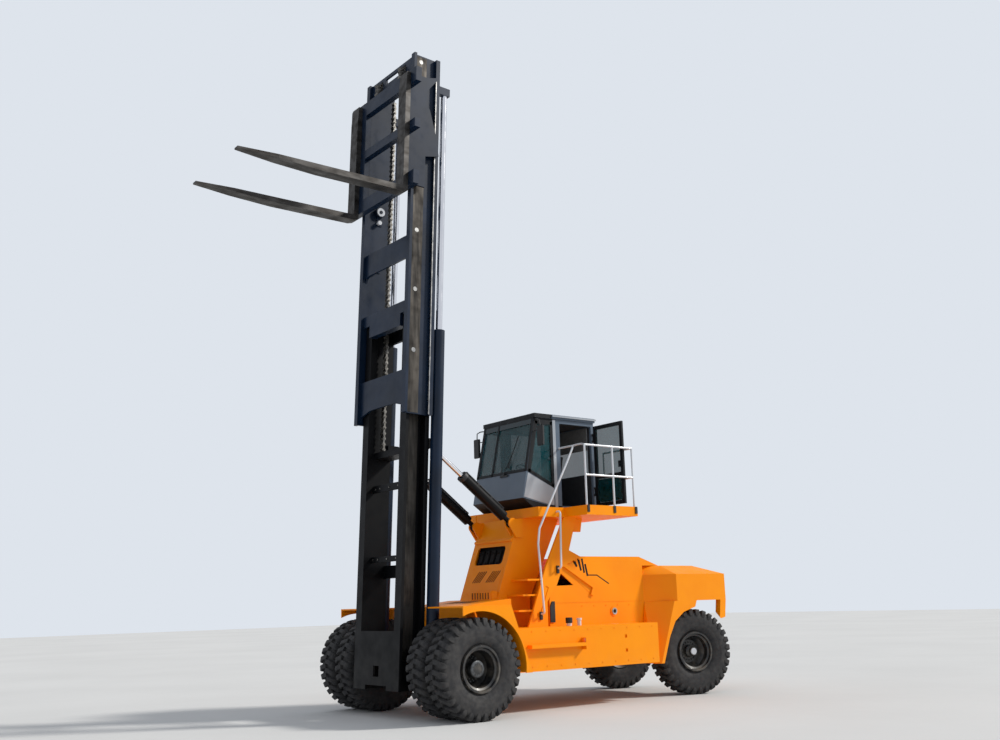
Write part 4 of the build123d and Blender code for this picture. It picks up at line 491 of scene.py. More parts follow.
class Solid:
    """A mesh under construction, in metres."""

    def __init__(self) -> None:
        """Start empty."""
        self.bm = bmesh.new()

    def box(self, low: Point, high: Point) -> Solid:
        """Add a box between two corners.

        Args:
            low: its lowest corner.
            high: its highest corner.

        Returns:
            The solid.
        """
        made = bmesh.ops.create_cube(self.bm, size=1.0)
        size = Vector(high) - Vector(low)
        middle = (Vector(high) + Vector(low)) / 2
        bmesh.ops.scale(self.bm, vec=size, verts=made["verts"])
        bmesh.ops.translate(self.bm, vec=middle, verts=made["verts"])
        return self

    def boxes(self, *spans: tuple[Point, Point]) -> Solid:
        """Add boxes, each between two corners."""
        for low, high in spans:
            self.box(low, high)
        return self

    def rod(self, start: Point, end: Point, radius: float, sides: int = 20, radius_end: float | None = None) -> Solid:
        """Add a round or many-sided bar between two points.

        Args:
            start: the middle of its first end.
            end: the middle of its second end.
            radius: its radius.
            sides: how many sides it has.
            radius_end: its radius at the second end, if that differs.

        Returns:
            The solid.
        """
        a, b = Vector(start), Vector(end)
        turn = (b - a).to_track_quat("Z", "Y").to_matrix().to_4x4()
        bmesh.ops.create_cone(
            self.bm,
            cap_ends=True,
            segments=sides,
            radius1=radius,
            radius2=radius if radius_end is None else radius_end,
            depth=(b - a).length,
            matrix=Matrix.Translation((a + b) / 2) @ turn,
        )
        return self

    def spun(self, profile: Sequence[Pair], steps: int = 72) -> Solid:
        """Add a closed ring from (radius, y) points turned about the Y axis.

        Args:
            profile: the points round the ring's section.
            steps: how many sections there are.

        Returns:
            The solid.
        """
        rings = []
        for step in range(steps):
            angle = 2 * math.pi * step / steps
            c, s = math.cos(angle), math.sin(angle)
            rings.append([self.bm.verts.new((r * s, y, r * c)) for r, y in profile])
        count = len(profile)
        for step in range(steps):
            near, far = rings[step], rings[(step + 1) % steps]
            for i in range(count):
                j = (i + 1) % count
                self.bm.faces.new((near[i], near[j], far[j], far[i]))
        return self

    def prism(self, outline: Sequence[Point], offset: Point) -> Solid:
        """Add a flat outline pushed along an offset.

        Args:
            outline: its points in order.
            offset: the push, in metres.

        Returns:
            The solid.
        """
        near = [self.bm.verts.new(p) for p in outline]
        far = [self.bm.verts.new(Vector(p) + Vector(offset)) for p in outline]
        count = len(outline)
        self.bm.faces.new(near)
        self.bm.faces.new(list(reversed(far)))
        for i in range(count):
            j = (i + 1) % count
            self.bm.faces.new((near[i], near[j], far[j], far[i]))
        return self

    def strip(self, start: Pair, end: Pair, width: float, y0: float, y1: float) -> Solid:
        """Add a straight flat band between two (x, z) points, from y0 to y1 across.

        Args:
            start: one point, which the band passes by half its width.
            end: the other point, which it passes by as much.
            width: how wide it is.
            y0: one face.
            y1: the other face.

        Returns:
            The solid.
        """
        a, b = Vector((start[0], 0, start[1])), Vector((end[0], 0, end[1]))
        ahead = (b - a).normalized() * width / 2
        side = Vector((-ahead.z, 0, ahead.x))
        lift = Vector((0, y0, 0))
        a, b = a - ahead + lift, b + ahead + lift
        return self.prism([a + side, b + side, b - side, a - side], (0, y1 - y0, 0))

    def tube(self, path: Sequence[Point], radius: float, sides: int = 10) -> Solid:
        """Add a tube along points, closed at both ends.

        Args:
            path: the points.
            radius: the tube's radius.
            sides: how many sides it has.

        Returns:
            The solid.
        """
        points = [Vector(p) for p in path]
        rings: list[list[bmesh.types.BMVert]] = []
        up = Vector((0.31, 0.52, 0.79))
        for i, point in enumerate(points):
            ahead = points[min(i + 1, len(points) - 1)] - points[max(i - 1, 0)]
            ahead.normalize()
            side = ahead.cross(up).normalized()
            other = side.cross(ahead).normalized()
            up = -ahead.cross(side)
            ring = []
            for k in range(sides):
                angle = 2 * math.pi * k / sides
                ring.append(self.bm.verts.new(point + radius * (side * math.cos(angle) + other * math.sin(angle))))
            rings.append(ring)
        for near, far in zip(rings, rings[1:]):
            for k in range(sides):
                j = (k + 1) % sides
                self.bm.faces.new((near[k], near[j], far[j], far[k]))
        self.bm.faces.new(rings[0])
        self.bm.faces.new(list(reversed(rings[-1])))
        return self

    def rounded(self, width: float, segments: int = 2, angle: float = 0.6) -> Solid:
        """Round the sharp edges.

        Args:
            width: how wide the rounding is.
            segments: how many flats it has.
            angle: the least angle of a sharp edge, in radians.

        Returns:
            The solid.
        """
        self.bm.normal_update()
        sharp = [e for e in self.bm.edges if len(e.link_faces) == 2 and e.calc_face_angle(0) > angle]
        bmesh.ops.bevel(self.bm, geom=sharp, offset=width, segments=segments, affect="EDGES", clamp_overlap=True)
        return self

    def done(self, smooth_angle: float = 0.6) -> Mesh:
        """Finish the mesh, with faces outwards and sharp edges kept.

        Args:
            smooth_angle: the least angle of an edge that stays sharp, in radians.

        Returns:
            The mesh.
        """
        bmesh.ops.recalc_face_normals(self.bm, faces=self.bm.faces)
        self.bm.normal_update()
        for face in self.bm.faces:
            face.smooth = True
        for edge in self.bm.edges:
            edge.smooth = not (len(edge.link_faces) == 2 and edge.calc_face_angle(0) > smooth_angle)
        mesh = bpy.data.meshes.new("mesh")
        self.bm.to_mesh(mesh)
        self.bm.free()
        return mesh


class Repeater:
    """A Geometry Nodes tree that copies a mesh by a fixed step and turn."""

    def __init__(self) -> None:
        """Build the tree with its named inputs."""
        tree = bpy.data.node_groups.new("stepped_copies", "GeometryNodeTree")
        face = tree.interface
        face.new_socket("Geometry", in_out="INPUT", socket_type="NodeSocketGeometry")
        kinds = {"Count": "Int", "Step": "Vector", "Turn": "Vector", "Finish": "Material"}
        self.inputs = {
            name: face.new_socket(name, in_out="INPUT", socket_type=f"NodeSocket{kind}").identifier
            for name, kind in kinds.items()
        }
        face.new_socket("Geometry", in_out="OUTPUT", socket_type="NodeSocketGeometry")
        nodes, links = tree.nodes, tree.links
        inputs, outputs = nodes.new("NodeGroupInput"), nodes.new("NodeGroupOutput")
        index = nodes.new("GeometryNodeInputIndex")
        points = nodes.new("GeometryNodePoints")
        copies = nodes.new("GeometryNodeInstanceOnPoints")
        turned = nodes.new("FunctionNodeEulerToRotation")
        real = nodes.new("GeometryNodeRealizeInstances")
        dress = nodes.new("GeometryNodeSetMaterial")
        scaled = []
        for name in ("Step", "Turn"):
            node = nodes.new("ShaderNodeVectorMath")
            node.operation = "SCALE"
            links.new(inputs.outputs[name], node.inputs[0])
            links.new(index.outputs[0], node.inputs["Scale"])
            scaled.append(node.outputs[0])
        links.new(inputs.outputs["Count"], points.inputs["Count"])
        links.new(scaled[0], points.inputs["Position"])
        links.new(scaled[1], turned.inputs[0])
        links.new(points.outputs[0], copies.inputs["Points"])
        links.new(inputs.outputs["Geometry"], copies.inputs["Instance"])
        links.new(turned.outputs[0], copies.inputs["Rotation"])
        links.new(copies.outputs[0], real.inputs[0])
        links.new(real.outputs[0], dress.inputs["Geometry"])
        links.new(inputs.outputs["Finish"], dress.inputs["Material"])
        links.new(dress.outputs[0], outputs.inputs[0])
        self.tree = tree

    def copies(
        self,
        mesh: Mesh,
        count: int,
        material: Material,
        step: Point = (0, 0, 0),
        turn: Point = (0, 0, 0),
    ) -> Mesh:
        """Copy a mesh.

        Args:
            mesh: what is copied.
            count: how many copies there are.
            material: their finish.
            step: the move from one copy to the next, in metres.
            turn: the turn from one copy to the next about each axis, in radians.

        Returns:
            One plain mesh of all the copies.
        """
        source = linked("source", mesh)
        modifier = source.modifiers.new("copies", "NODES")
        modifier.node_group = self.tree
        for name, value in {"Count": count, "Step": step, "Turn": turn, "Finish": material}.items():
            modifier[self.inputs[name]] = value
        made = baked(source)
        bpy.data.objects.remove(source)
        return made


class Workshop:
    """Puts finished meshes into the scene and on their bodies."""

    def __init__(self, wardrobe: Wardrobe) -> None:
        """Remember the finishes, find the front axle and build the repeater."""
        self.wardrobe = wardrobe
        self.repeat = Repeater()
        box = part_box("tyres_front_left")
        self.axle_x = (box[0].x + box[1].x) / 2
        self.shift = Matrix.Translation((self.axle_x, 0, 0))
        self.lean = (
            Matrix.Translation((self.axle_x, 0, AXLE_Z))
            @ Matrix.Rotation(-MAST_LEAN, 4, "Y")
            @ Matrix.Translation((0, 0, -AXLE_Z))
        )
        self.extra: dict[str, Material] = {}

    def finish(self, kind: Finish) -> Material:
        """A finish besides the slots' own, made once."""
        if kind.name not in self.extra:
            self.extra[kind.name] = kind.material()
        return self.extra[kind.name]

    def single(self, made: Solid, frame: Matrix | None = None, smooth_angle: float = 0.6) -> list[Placed]:
        """A finished solid in a frame, which is the truck's own if none is given."""
        return [(made.done(smooth_angle), self.shift if frame is None else frame)]

    def pair(self, made: Solid | Mesh, frame: Matrix | None = None, at: Point = (0, 0, 0)) -> list[Placed]:
        """A thing at a point of a frame, and its mirror image on the other side.

        Args:
            made: the solid, or its mesh where that is made already.
            frame: the frame, which is the truck's own if none is given.
            at: the point.

        Returns:
            Both placed meshes.
        """
        mesh = made.done() if isinstance(made, Solid) else made
        frame = self.shift if frame is None else frame
        place = Matrix.Translation(at)
        return [(mesh, frame @ place), (mesh, frame @ MIRROR_Y @ place)]

    def piece(
        self,
        name: str,
        meshes: Sequence[Placed],
        slot: Slot,
        body: str = "chassis",
        replaces: Sequence[str] = (),
        finish: Finish | None = None,
        bend: tuple[str, Point, Point] | None = None,
    ) -> bpy.types.Object:
        """Join placed meshes into one piece, on a body unless a bend is given.

        Args:
            name: the piece's name.
            meshes: each mesh with its place in the row frame.
            slot: the material slot it takes its finish from.
            body: the body it rides on, unless a bend is given; then it is only named in the log.
            replaces: the CAD nodes that it stands for.
            finish: a finish other than the slot's own.
            bend: a second body and two points; where it is given, the piece stays loose where it was made, on no body.

        Returns:
            The new object.
        """
        joined = bmesh.new()
        for mesh, place in meshes:
            part = mesh.copy()
            part.transform(place)
            if place.determinant() < 0:
                part.flip_normals()
            joined.from_mesh(part)
            bpy.data.meshes.remove(part)
        mesh = bpy.data.meshes.new(name)
        joined.to_mesh(mesh)
        joined.free()
        mesh.materials.clear()
        mesh.materials.append(self.finish(finish) if finish else self.wardrobe.get(slot))
        for polygon in mesh.polygons:
            polygon.material_index = 0
        obj = linked(name, mesh)
        if bend:
            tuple(bend[1])
            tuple(bend[2])
            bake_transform(obj)
        else:
            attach(obj, body)
        slot.label
        if replaces:
            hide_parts(*replaces)
        LOG.info("%s: %d faces on %s", name, len(mesh.polygons), body)
        return obj


# Sub-assemblies


class Side(Enum):
    """The truck's two sides, with the sign of y on each."""

    LEFT = 1
    RIGHT = -1

    @property
    def label(self) -> str:
        """The side's name in bodies, nodes and pieces."""
        return self.name.lower()

    @property
    def flip(self) -> Matrix:
        """What turns a left-hand thing into this side's."""
        return Matrix() if self is Side.LEFT else MIRROR_Y


@dataclass
class Assembly:
    """A part of the truck, made with the workshop's tools."""

    shop: Workshop


@dataclass
class LugTyre(Assembly):
    """A deep-lugged industrial tyre about the Y axis."""

    radius: float = 0.8075
    half_width: float = 0.24
    bead_radius: float = 0.325
    flange_radius: float = 0.397
    lugs: int = 32
    lug_depth: float = 0.042
    lug_share: float = 0.6
    skew: float = 0.08
    root_grow: float = 1.22

    def casing(self) -> Mesh:
        """The tyre under its lugs."""
        w, base = self.half_width, self.radius - self.lug_depth
        half = [
            (base, 0.0),
            (base - 0.002, w * 0.55),
            (base - 0.012, w * 0.78),
            (base - 0.045, w * 0.92),
            (base - 0.085, w * 0.955),
            (base - 0.15, w * 0.985),
            (base - 0.21, w * 0.99),
            (base - 0.222, w * 0.975),
            (base - 0.236, w * 0.98),
            (base - 0.30, w * 0.93),
            (self.flange_radius + 0.012, w * 0.84),
            (self.flange_radius, w * 0.79),
            (self.bead_radius, w * 0.62),
        ]
        profile = [(r, -y) for r, y in reversed(half[1:])] + half
        return Solid().spun(profile, 96).done(0.9)

    def lug(self) -> Mesh:
        """One lug on the left half, at the tyre's top."""
        w, r = self.half_width, self.radius
        half = math.pi / self.lugs * self.lug_share
        path = [
            (r, -0.01, 0.8, 0.0),
            (r, w * 0.45, 0.9, 0.3),
            (r - 0.001, w * 0.84, 1.0, 0.8),
            (r - 0.030, w * 0.975, 1.0, 1.0),
            (r - 0.085, w * 0.998, 0.95, 1.0),
            (r - 0.135, w * 0.985, 0.55, 1.0),
        ]
        depth = [0.05, 0.05, 0.05, 0.05, 0.035, 0.02]
        inward = [(1, 0), (1, 0), (0.85, 0.5), (0.6, 0.8), (0.1, 1), (0, 1)]
        solid = Solid()
        rows = []
        for (radius, y, wide, skew), sink, (down, side) in zip(path, depth, inward):
            row = []
            for rr, yy, grow in ((radius, y, 1.0), (radius - sink * down, y - sink * side, self.root_grow)):
                for way in (-1, 1):
                    angle = self.skew * skew + way * half * wide * grow
                    row.append(solid.bm.verts.new((rr * math.sin(angle), yy, rr * math.cos(angle))))
            rows.append(row)
        for near, far in zip(rows, rows[1:]):
            a, b, c, d = near
            e, f, g, h = far
            for loop in ((a, b, f, e), (b, d, h, f), (d, c, g, h), (c, a, e, g)):
                solid.bm.faces.new(loop)
        for row, order in ((rows[0], (0, 2, 3, 1)), (rows[-1], (0, 1, 3, 2))):
            solid.bm.faces.new([row[k] for k in order])
        bmesh.ops.recalc_face_normals(solid.bm, faces=solid.bm.faces)
        return solid.rounded(0.006, 2, 0.7).done(0.8)

    def tyre(self) -> list[Placed]:
        """The whole tyre as placed meshes about the origin."""
        pitch = 2 * math.pi / self.lugs
        rubber = self.shop.wardrobe.get(Slot.TYRE)
        ring = self.shop.repeat.copies(self.lug(), self.lugs, rubber, turn=(0, pitch, 0))
        other = MIRROR_Y @ Matrix.Rotation(pitch / 2, 4, "Y")
        return [(self.casing(), Matrix()), (ring, Matrix()), (ring, other)]


@dataclass(frozen=True)
class NutRing:
    """A ring of six-sided nuts about the Y axis, from one y to another."""

    count: int
    ring: float
    radius: float
    low: float
    high: float

    def mesh(self, shop: Workshop) -> Mesh:
        """Make the nuts.

        Args:
            shop: whose repeater copies the nut.

        Returns:
            One mesh of the whole ring.
        """
        start, end = (0, self.low, self.ring), (0, self.high, self.ring)
        nut = Solid().rod(start, end, self.radius, 6, self.radius * 0.94).done(0.4)
        return shop.repeat.copies(nut, self.count, shop.wardrobe.get(Slot.RIM), turn=(0, 2 * math.pi / self.count, 0))


@dataclass
class Wheels(Assembly):
    """All six tyres, with the nuts, bolts, domes and caps on their rims."""

    outer_y: float = 1.74
    inner_y: float = 1.18
    rear_x: float = -5.770
    kingpin_y: float = 0.8
    rear_y: float = 1.17
    steer: float = math.radians(-14.7)
    front_nuts: tuple[NutRing, ...] = (
        NutRing(20, 0.2, 0.014, -0.122, -0.094),
        NutRing(16, 0.163, 0.009, -0.05, -0.034),
        NutRing(12, 0.086, 0.008, 0.12, 0.128),
    )
    rear_nuts: tuple[NutRing, ...] = (
        NutRing(18, 0.168, 0.013, -0.032, -0.006),
        NutRing(8, 0.099, 0.008, 0.074, 0.084),
    )
    dome: tuple[Pair, ...] = ((0.142, 0.0), (0.1425, 0.1), (0.136, 0.112), (0.12, 0.121), (0.09, 0.122), (0.09, 0.0))

    def build(self) -> None:
        """Make the tyres and the rim fittings."""
        tyre = LugTyre(self.shop).tyre()
        for side in Side:
            pair = []
            for y in (self.outer_y, self.inner_y):
                place = side.flip @ Matrix.Translation((self.shop.axle_x, y, AXLE_Z))
                pair += [(mesh, place @ own) for mesh, own in tyre]
            front_body, rear_body = f"front_wheels_{side.label}", f"rear_wheel_{side.label}"
            front_node, rear_node = f"tyres_front_{side.label}", f"tyre_rear_{side.label}"
            self.shop.piece(f"front_tyres_{side.label}", pair, Slot.TYRE, front_body, [front_node])
            rear = self.rear_place(side)
            turned = [(mesh, rear @ own) for mesh, own in tyre]
            self.shop.piece(f"rear_tyre_{side.label}", turned, Slot.TYRE, rear_body, [rear_node])
            self.fittings(side, rear, front_body, rear_body)

    def fittings(self, side: Side, rear: Matrix, front_body: str, rear_body: str) -> None:
        """Nuts, bolts, the front hub's dome and the rear hub's cap on one side's rims.

        Args:
            side: the truck's side.
            rear: where the rear wheel's middle stands.
            front_body: the body of the front wheels.
            rear_body: the body of the rear wheel.
        """
        front = side.flip @ Matrix.Translation((self.shop.axle_x, self.outer_y, AXLE_Z))
        nuts = [(ring.mesh(self.shop), front) for ring in self.front_nuts]
        nuts += self.shop.single(Solid().spun(self.dome, 48), front)
        self.shop.piece(f"front_wheel_nuts_{side.label}", nuts, Slot.RIM, front_body, finish=HUB_GREY)
        nuts = [(ring.mesh(self.shop), rear) for ring in self.rear_nuts]
        self.shop.piece(f"rear_wheel_nuts_{side.label}", nuts, Slot.RIM, rear_body)
        cap = Solid().rod((0, 0.149, 0), (0, 0.158, 0), 0.066, 32, 0.058)
        self.shop.piece(f"rear_hub_cap_{side.label}", self.shop.single(cap, rear), Slot.RAIL, rear_body)

    def rear_place(self, side: Side) -> Matrix:
        """Where a rear wheel's middle stands, steered as the truck stands.

        Args:
            side: the truck's side.

        Returns:
            The wheel's frame.
        """
        kingpin = Matrix.Translation((self.shop.axle_x + self.rear_x, side.value * self.kingpin_y, AXLE_Z))
        out = Matrix.Translation((0, side.value * (self.rear_y - self.kingpin_y), 0))
        return kingpin @ Matrix.Rotation(self.steer, 4, "Z") @ out @ side.flip


@dataclass
class LeafChains(Assembly):
    """The lift chains' strands, plate by plate."""

    y: float = 0.42
    back_x: float = 0.54
    front_x: float = 0.93
    anchor_z: float = 4.54
    pulley_z: float = 11.64
    carriage_z: float = 11.43
    pitch: float = 0.1016
    plate_width: float = 0.068
    waist: float = 0.032
    plates: int = 6
    width: float = 0.1
    pin_radius: float = 0.014
    pin_out: float = 0.007

    def rows(self) -> list[Pair]:
        """Each row of plates across the chain: its y and its thickness."""
        count = self.plates * 2 - 1
        return [(-self.width / 2 + k * self.width / count, self.width / count) for k in range(count)]

    def plate(self, solid: Solid, y: float, thick: float, low: float) -> None:
        """One plate over two pins, drawn in between them.

        Args:
            solid: what it is added to.
            y: its right face.
            thick: how thick it is.
            low: the height of its lower pin.
        """
        wide, narrow, p = self.plate_width / 2, self.waist / 2, self.pitch
        half = [
            (0.0, low - 0.2 * p),
            (wide * 0.7, low - 0.17 * p),
            (wide, low),
            (wide * 0.85, low + 0.14 * p),
            (narrow, low + 0.36 * p),
            (narrow, low + 0.64 * p),
            (wide * 0.85, low + 0.86 * p),
            (wide, low + p),
            (wide * 0.7, low + 1.17 * p),
            (0.0, low + 1.2 * p),
        ]
        outline = half + [(-x, z) for x, z in reversed(half[1:-1])]
        solid.prism([(x, y, z) for x, z in outline], (0, thick, 0))

    def link(self) -> Mesh:
        """Two pitches of the chain: its plates and the pins' ends."""
        solid = Solid()
        for k, (y, thick) in enumerate(self.rows()):
            self.plate(solid, y, thick * 0.9, self.pitch * (k % 2))
        end = self.width / 2 + self.pin_out
        for z in (0.0, self.pitch):
            solid.rod((0, -end, z), (0, end, z), self.pin_radius, 12)
        return solid.done(0.5)

    def strands(
        self, name: str, x: float, low: float, margin: float, body: str, replaces: Sequence[str] = ()
    ) -> None:
        """Both strands at one distance forward, handed over with the moving mast as a bend, which leaves them loose on
        no body.

        Args:
            name: the piece's name.
            x: how far forward they are.
            low: the height of their lower ends.
            margin: how far inside their ends the bend's two points lie.
            body: the body named in the log; the strands are not held to it.
            replaces: the CAD nodes that they stand for.
        """
        count = int((self.pulley_z - low) / self.pitch / 2)
        steel = self.shop.wardrobe.get(Slot.CHAIN)
        mesh = self.shop.repeat.copies(self.link(), count, steel, step=(0, 0, self.pitch * 2))
        placed = self.shop.pair(mesh, self.shop.lean, (x, self.y, low + self.pitch / 2))
        ends = [tuple(self.shop.lean @ Vector((x, 0, z))) for z in (low + margin, self.pulley_z - margin)]
        self.shop.piece(name, placed, Slot.CHAIN, body, replaces, bend=("moving_mast", *ends))

    def wraps(self) -> None:
        """The links that lie over the pulleys."""
        radius = (self.front_x - self.back_x) / 2
        count = round(math.pi * radius / self.pitch / 2)
        half, reach = self.plate_width / 2 * 0.8, self.pitch * 0.42
        solid = Solid()
        for k, (y, thick) in enumerate(self.rows()):
            lead = self.pitch * (k % 2)
            solid.box((-radius - half, y, lead - reach), (-radius + half, y + thick * 0.92, lead + reach))
        steel = self.shop.wardrobe.get(Slot.CHAIN)
        ring = self.shop.repeat.copies(solid.done(), count, steel, turn=(0, math.pi / count, 0))
        middle = ((self.front_x + self.back_x) / 2, self.y, self.pulley_z)
        self.shop.piece("chain_wraps", self.shop.pair(ring, self.shop.lean, middle), Slot.CHAIN, "moving_mast")

    def build(self) -> None:
        """Make the back strands, the links over the pulleys and the front strands."""
        self.strands("chain_strands_back", self.back_x, self.anchor_z, 0.1, "fixed_mast", ["chains_back"])
        self.wraps()
        self.strands("chain_strands_front", self.front_x, self.carriage_z, 0.03, "carriage")


@dataclass
class CabTrim(Assembly):
    """The cab's frames, roof edge, lining, blind, painted shade under the nose, light grey and sunlit panels, mirrors,
    wiper, door panel and lamps.
    """

    half: float = 0.78
    base: float = 3.53
    sill: Pair = (-2.0, 4.2)
    header: Pair = (-2.225, 5.25)
    nose: Pair = (-1.9, 3.72)
    chin: Pair = (-2.18, 3.53)
    post_x: float = -2.64
    door_x: float = -3.715
    frame_out: float = 0.008
    frame_z: tuple[Pair, ...] = ((4.215, 4.27), (5.225, 5.249))
    upright_z: Pair = (4.215, 5.245)
    upright_wide: float = 0.06
    band_z: Pair = (5.13, 5.227)
    band_inset: float = 0.055
    pane: tuple[Pair, ...] = ((-2.075, 4.23), (-2.275, 5.16), (-2.64, 5.16), (-2.64, 3.97))
    roof_half: float = 0.811
    roof_low: float = 5.249
    wiper_out: float = 0.03

    def front_x(self, z: float) -> float:
        """Where the windscreen's plane is at a height."""
        share = (z - self.sill[1]) / (self.header[1] - self.sill[1])
        return self.sill[0] + (self.header[0] - self.sill[0]) * share

    def on_screen(self, solid: Solid, span: Pair, y: float, wide: float, out: float) -> Solid:
        """Lay a flat strip on the windscreen's plane.

        Args:
            solid: what it is added to.
            span: the heights of its lower and upper edges.
            y: its right edge.
            wide: how far it reaches across.
            out: how far it stands out.

        Returns:
            The solid.
        """
        slope = Vector((self.header[0] - self.sill[0], 0, self.header[1] - self.sill[1])).normalized()
        away = Vector((slope.z, 0, -slope.x)) * out
        low, high = (Vector((self.front_x(z), y, z)) for z in span)
        return solid.prism([low, high, high + away, low + away], (0, wide, 0))

    def frames(self) -> None:
        """Black frames round the windscreen and the quarter panes, and the glazed band over the screen."""
        reach, upright = self.half - self.band_inset, self.upright_wide
        glazed = self.on_screen(Solid(), self.band_z, -reach, 2 * reach, self.frame_out * 0.7)
        self.shop.piece("glazed_band", self.shop.single(glazed), Slot.DOOR, finish=GLASS_BAND)
        solid = Solid()
        for span in self.frame_z:
            self.on_screen(solid, span, -self.half, 2 * self.half, self.frame_out)
        for y, wide in ((-self.half, upright), (self.half - upright, upright), (-0.3, 0.04)):
            self.on_screen(solid, self.upright_z, y, wide, self.frame_out)
        side, inner = Solid(), self.half - 0.004
        for start, end in zip(self.pane, self.pane[1:] + self.pane[:1]):
            side.strip(start, end, 0.06, inner, self.half + 0.006)
        side.strip((-2.045, 4.24), (-2.245, 5.2), 0.05, inner, self.half + 0.005)
        side.strip((-2.26, 5.215), (-2.66, 5.215), 0.07, inner, self.half + 0.005)
        self.shop.piece("window_frames", self.shop.single(solid.rounded(0.003, 1)) + self.shop.pair(side), Slot.DOOR)

    def roof_edge(self) -> None:
        """The roof's dark front edge, down to the door post."""
        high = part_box("cab_roof")[1]
        x, side, low = high.x - self.shop.axle_x, self.roof_half, self.roof_low
        solid = Solid().box((x - 0.001, -side, low), (x + 0.0005, side, high.z)).rounded(0.0004)
        for y in (-side, side - 0.002):
            solid.box((self.post_x, y, low), (x - 0.001, y + 0.002, high.z - 0.001))
        self.shop.piece("roof_edge", self.shop.single(solid), Slot.DOOR)

    def lining(self) -> None:
        """The dark trim inside, from the mat to the headliner, and the blind over the rear window."""
        trim = Solid().boxes(
            ((-3.675, -0.725, 3.581), (-2.43, 0.725, 3.588)),
            ((-3.66, -0.73, 3.6), (-2.66, -0.722, 4.19)),
            ((-3.68, -0.725, 3.6), (-3.672, 0.725, 4.24)),
            ((-3.68, -0.72, 4.24), (-3.672, -0.645, 5.16)),
            ((-3.68, 0.645, 4.24), (-3.672, 0.72, 5.16)),
            ((-3.67, -0.72, 5.188), (-2.32, 0.72, 5.198)),
            ((-2.84, -0.735, 4.2), (-2.66, -0.722, 5.19)),
        )
        self.shop.piece("cab_lining", self.shop.single(trim.rounded(0.003, 1)), Slot.PLASTIC, finish=LINING)
        blind = Solid().boxes(
            ((-3.672, -0.645, 4.74), (-3.664, 0.645, 5.17)),
            ((-3.676, -0.645, 4.725), (-3.66, 0.645, 4.745)),
        )
        self.shop.piece("rear_blind", self.shop.single(blind.rounded(0.003, 1)), Slot.PLASTIC, finish=BLIND)

    def skirts(self) -> None:
        """The chin under the nose, covered by a near-black sheet of painted shade, and the dark strips beside it."""
        # Painted shade: a dark sheet on the sloped underside facet, where shade falls.
        low, high = (Vector((x, -self.half, z)) for x, z in (self.chin, self.nose))
        along = (high - low).normalized()
        out = Vector((along.z, 0, -along.x)) * 0.006
        front = Solid().prism([low, high, high + out, low + out], (0, 2 * self.half, 0))
        foot = self.base + 0.002
        edge = ((self.chin[0], foot), self.nose, (-2.45, self.base + 0.08), (-2.85, self.base + 0.06), (-2.85, foot))
        side = Solid().prism([(x, self.half, z) for x, z in edge], (0, 0.004, 0))
        self.shop.piece("nose_skirt", self.shop.single(front) + self.shop.pair(side), Slot.DOOR)

    def light_parts(self) -> None:
        """The light grey door post and gutter covers, and the nose's side panel: the cab grey painted lighter as if
        sunlit.
        """
        post = Solid().box((-2.745, self.half, 3.56), (-2.665, self.half + 0.012, 5.24)).rounded(0.006)
        # Painted light: the nose's side panel is the cab grey drawn lighter for its sunlit face.
        edge = ((-2.035, 4.19), (-1.925, 3.74), (-2.46, 3.63), (-2.655, 3.60), (-2.655, 3.925))
        panel = Solid().prism([(x, self.half, z) for x, z in edge], (0, 0.005, 0))
        gutter = Solid().box((-3.76, 0.835, 5.284), (-2.64, 0.8375, 5.316))
        meshes = [placed for solid in (post, panel, gutter) for placed in self.shop.pair(solid)]
        self.shop.piece("light_panels", meshes, Slot.CAB, finish=LIGHT_GREY_AND_SUNLIT)

    def mirrors(self) -> None:
        """A mirror on each side, its arm and its glass."""
        arm = Solid()
        arm.tube([(-2.24, 0.78, 5.2), (-2.2, 0.9, 5.2), (-2.18, 0.98, 5.17), (-2.19, 1.0, 5.05)], 0.011)
        arm.tube([(-2.2, 0.78, 4.98), (-2.19, 0.92, 4.99), (-2.19, 0.99, 5.0)], 0.009)
        arm.box((-2.215, 0.92, 4.68), (-2.165, 1.09, 5.06)).rounded(0.012, 3, 1.2)
        glass = Solid().box((-2.218, 0.932, 4.692), (-2.2155, 1.078, 5.048))
        self.shop.piece("mirror_arms", self.shop.pair(arm), Slot.PLASTIC)
        self.shop.piece("mirror_glass", self.shop.pair(glass), Slot.GLASS, finish=MIRROR_GLASS)

    def wiper(self) -> None:
        """The windscreen wiper on its pivot below the glass."""
        x, z, out = self.front_x(4.22), 4.22, self.wiper_out
        blade = [(self.front_x(height) + out, y, height) for y, height in ((0.22, 4.33), (0.42, 4.93))]
        solid = Solid().rod((x, 0.12, z), (x + out + 0.01, 0.12, z + 0.006), 0.022, 16)
        solid.tube([(x + out, 0.12, z + 0.005), (self.front_x(4.62) + out + 0.006, 0.32, 4.62)], 0.007)
        solid.tube(blade, 0.009)
        solid.box((x - 0.02, 0.0, z - 0.05), (x + 0.03, 0.24, z - 0.015))
        self.shop.piece("wiper", self.shop.single(solid), Slot.PLASTIC)

    def door_panel(self) -> None:
        """The door's solid lower panel, handle and lock, drawn as the door stands open."""
        x = self.door_x
        panel = Solid().box((x - 0.02, 0.915, 3.68), (x + 0.02, 1.57, 4.12)).rounded(0.006)
        panel.box((x - 0.045, 1.5, 4.3), (x + 0.045, 1.56, 4.42))
        panel.rod((x - 0.05, 1.53, 4.33), (x - 0.05, 1.53, 4.55), 0.012, 12)
        self.shop.piece("door_panel", self.shop.single(panel), Slot.DOOR, "cab_door")

    def lamps(self) -> None:
        """The marker lamps above the box's step."""
        marker = Solid().box((-2.435, 1.70, 1.125), (-2.425, 1.745, 1.19)).rounded(0.003)
        self.shop.piece("marker_lamps", self.shop.pair(marker), Slot.GLASS, finish=AMBER_LENS)

    def build(self) -> None:
        """Make all the cab's trim."""
        self.frames()
        self.roof_edge()
        self.lining()
        self.skirts()
        self.light_parts()
        self.mirrors()
        self.wiper()
        self.door_panel()
        self.lamps()


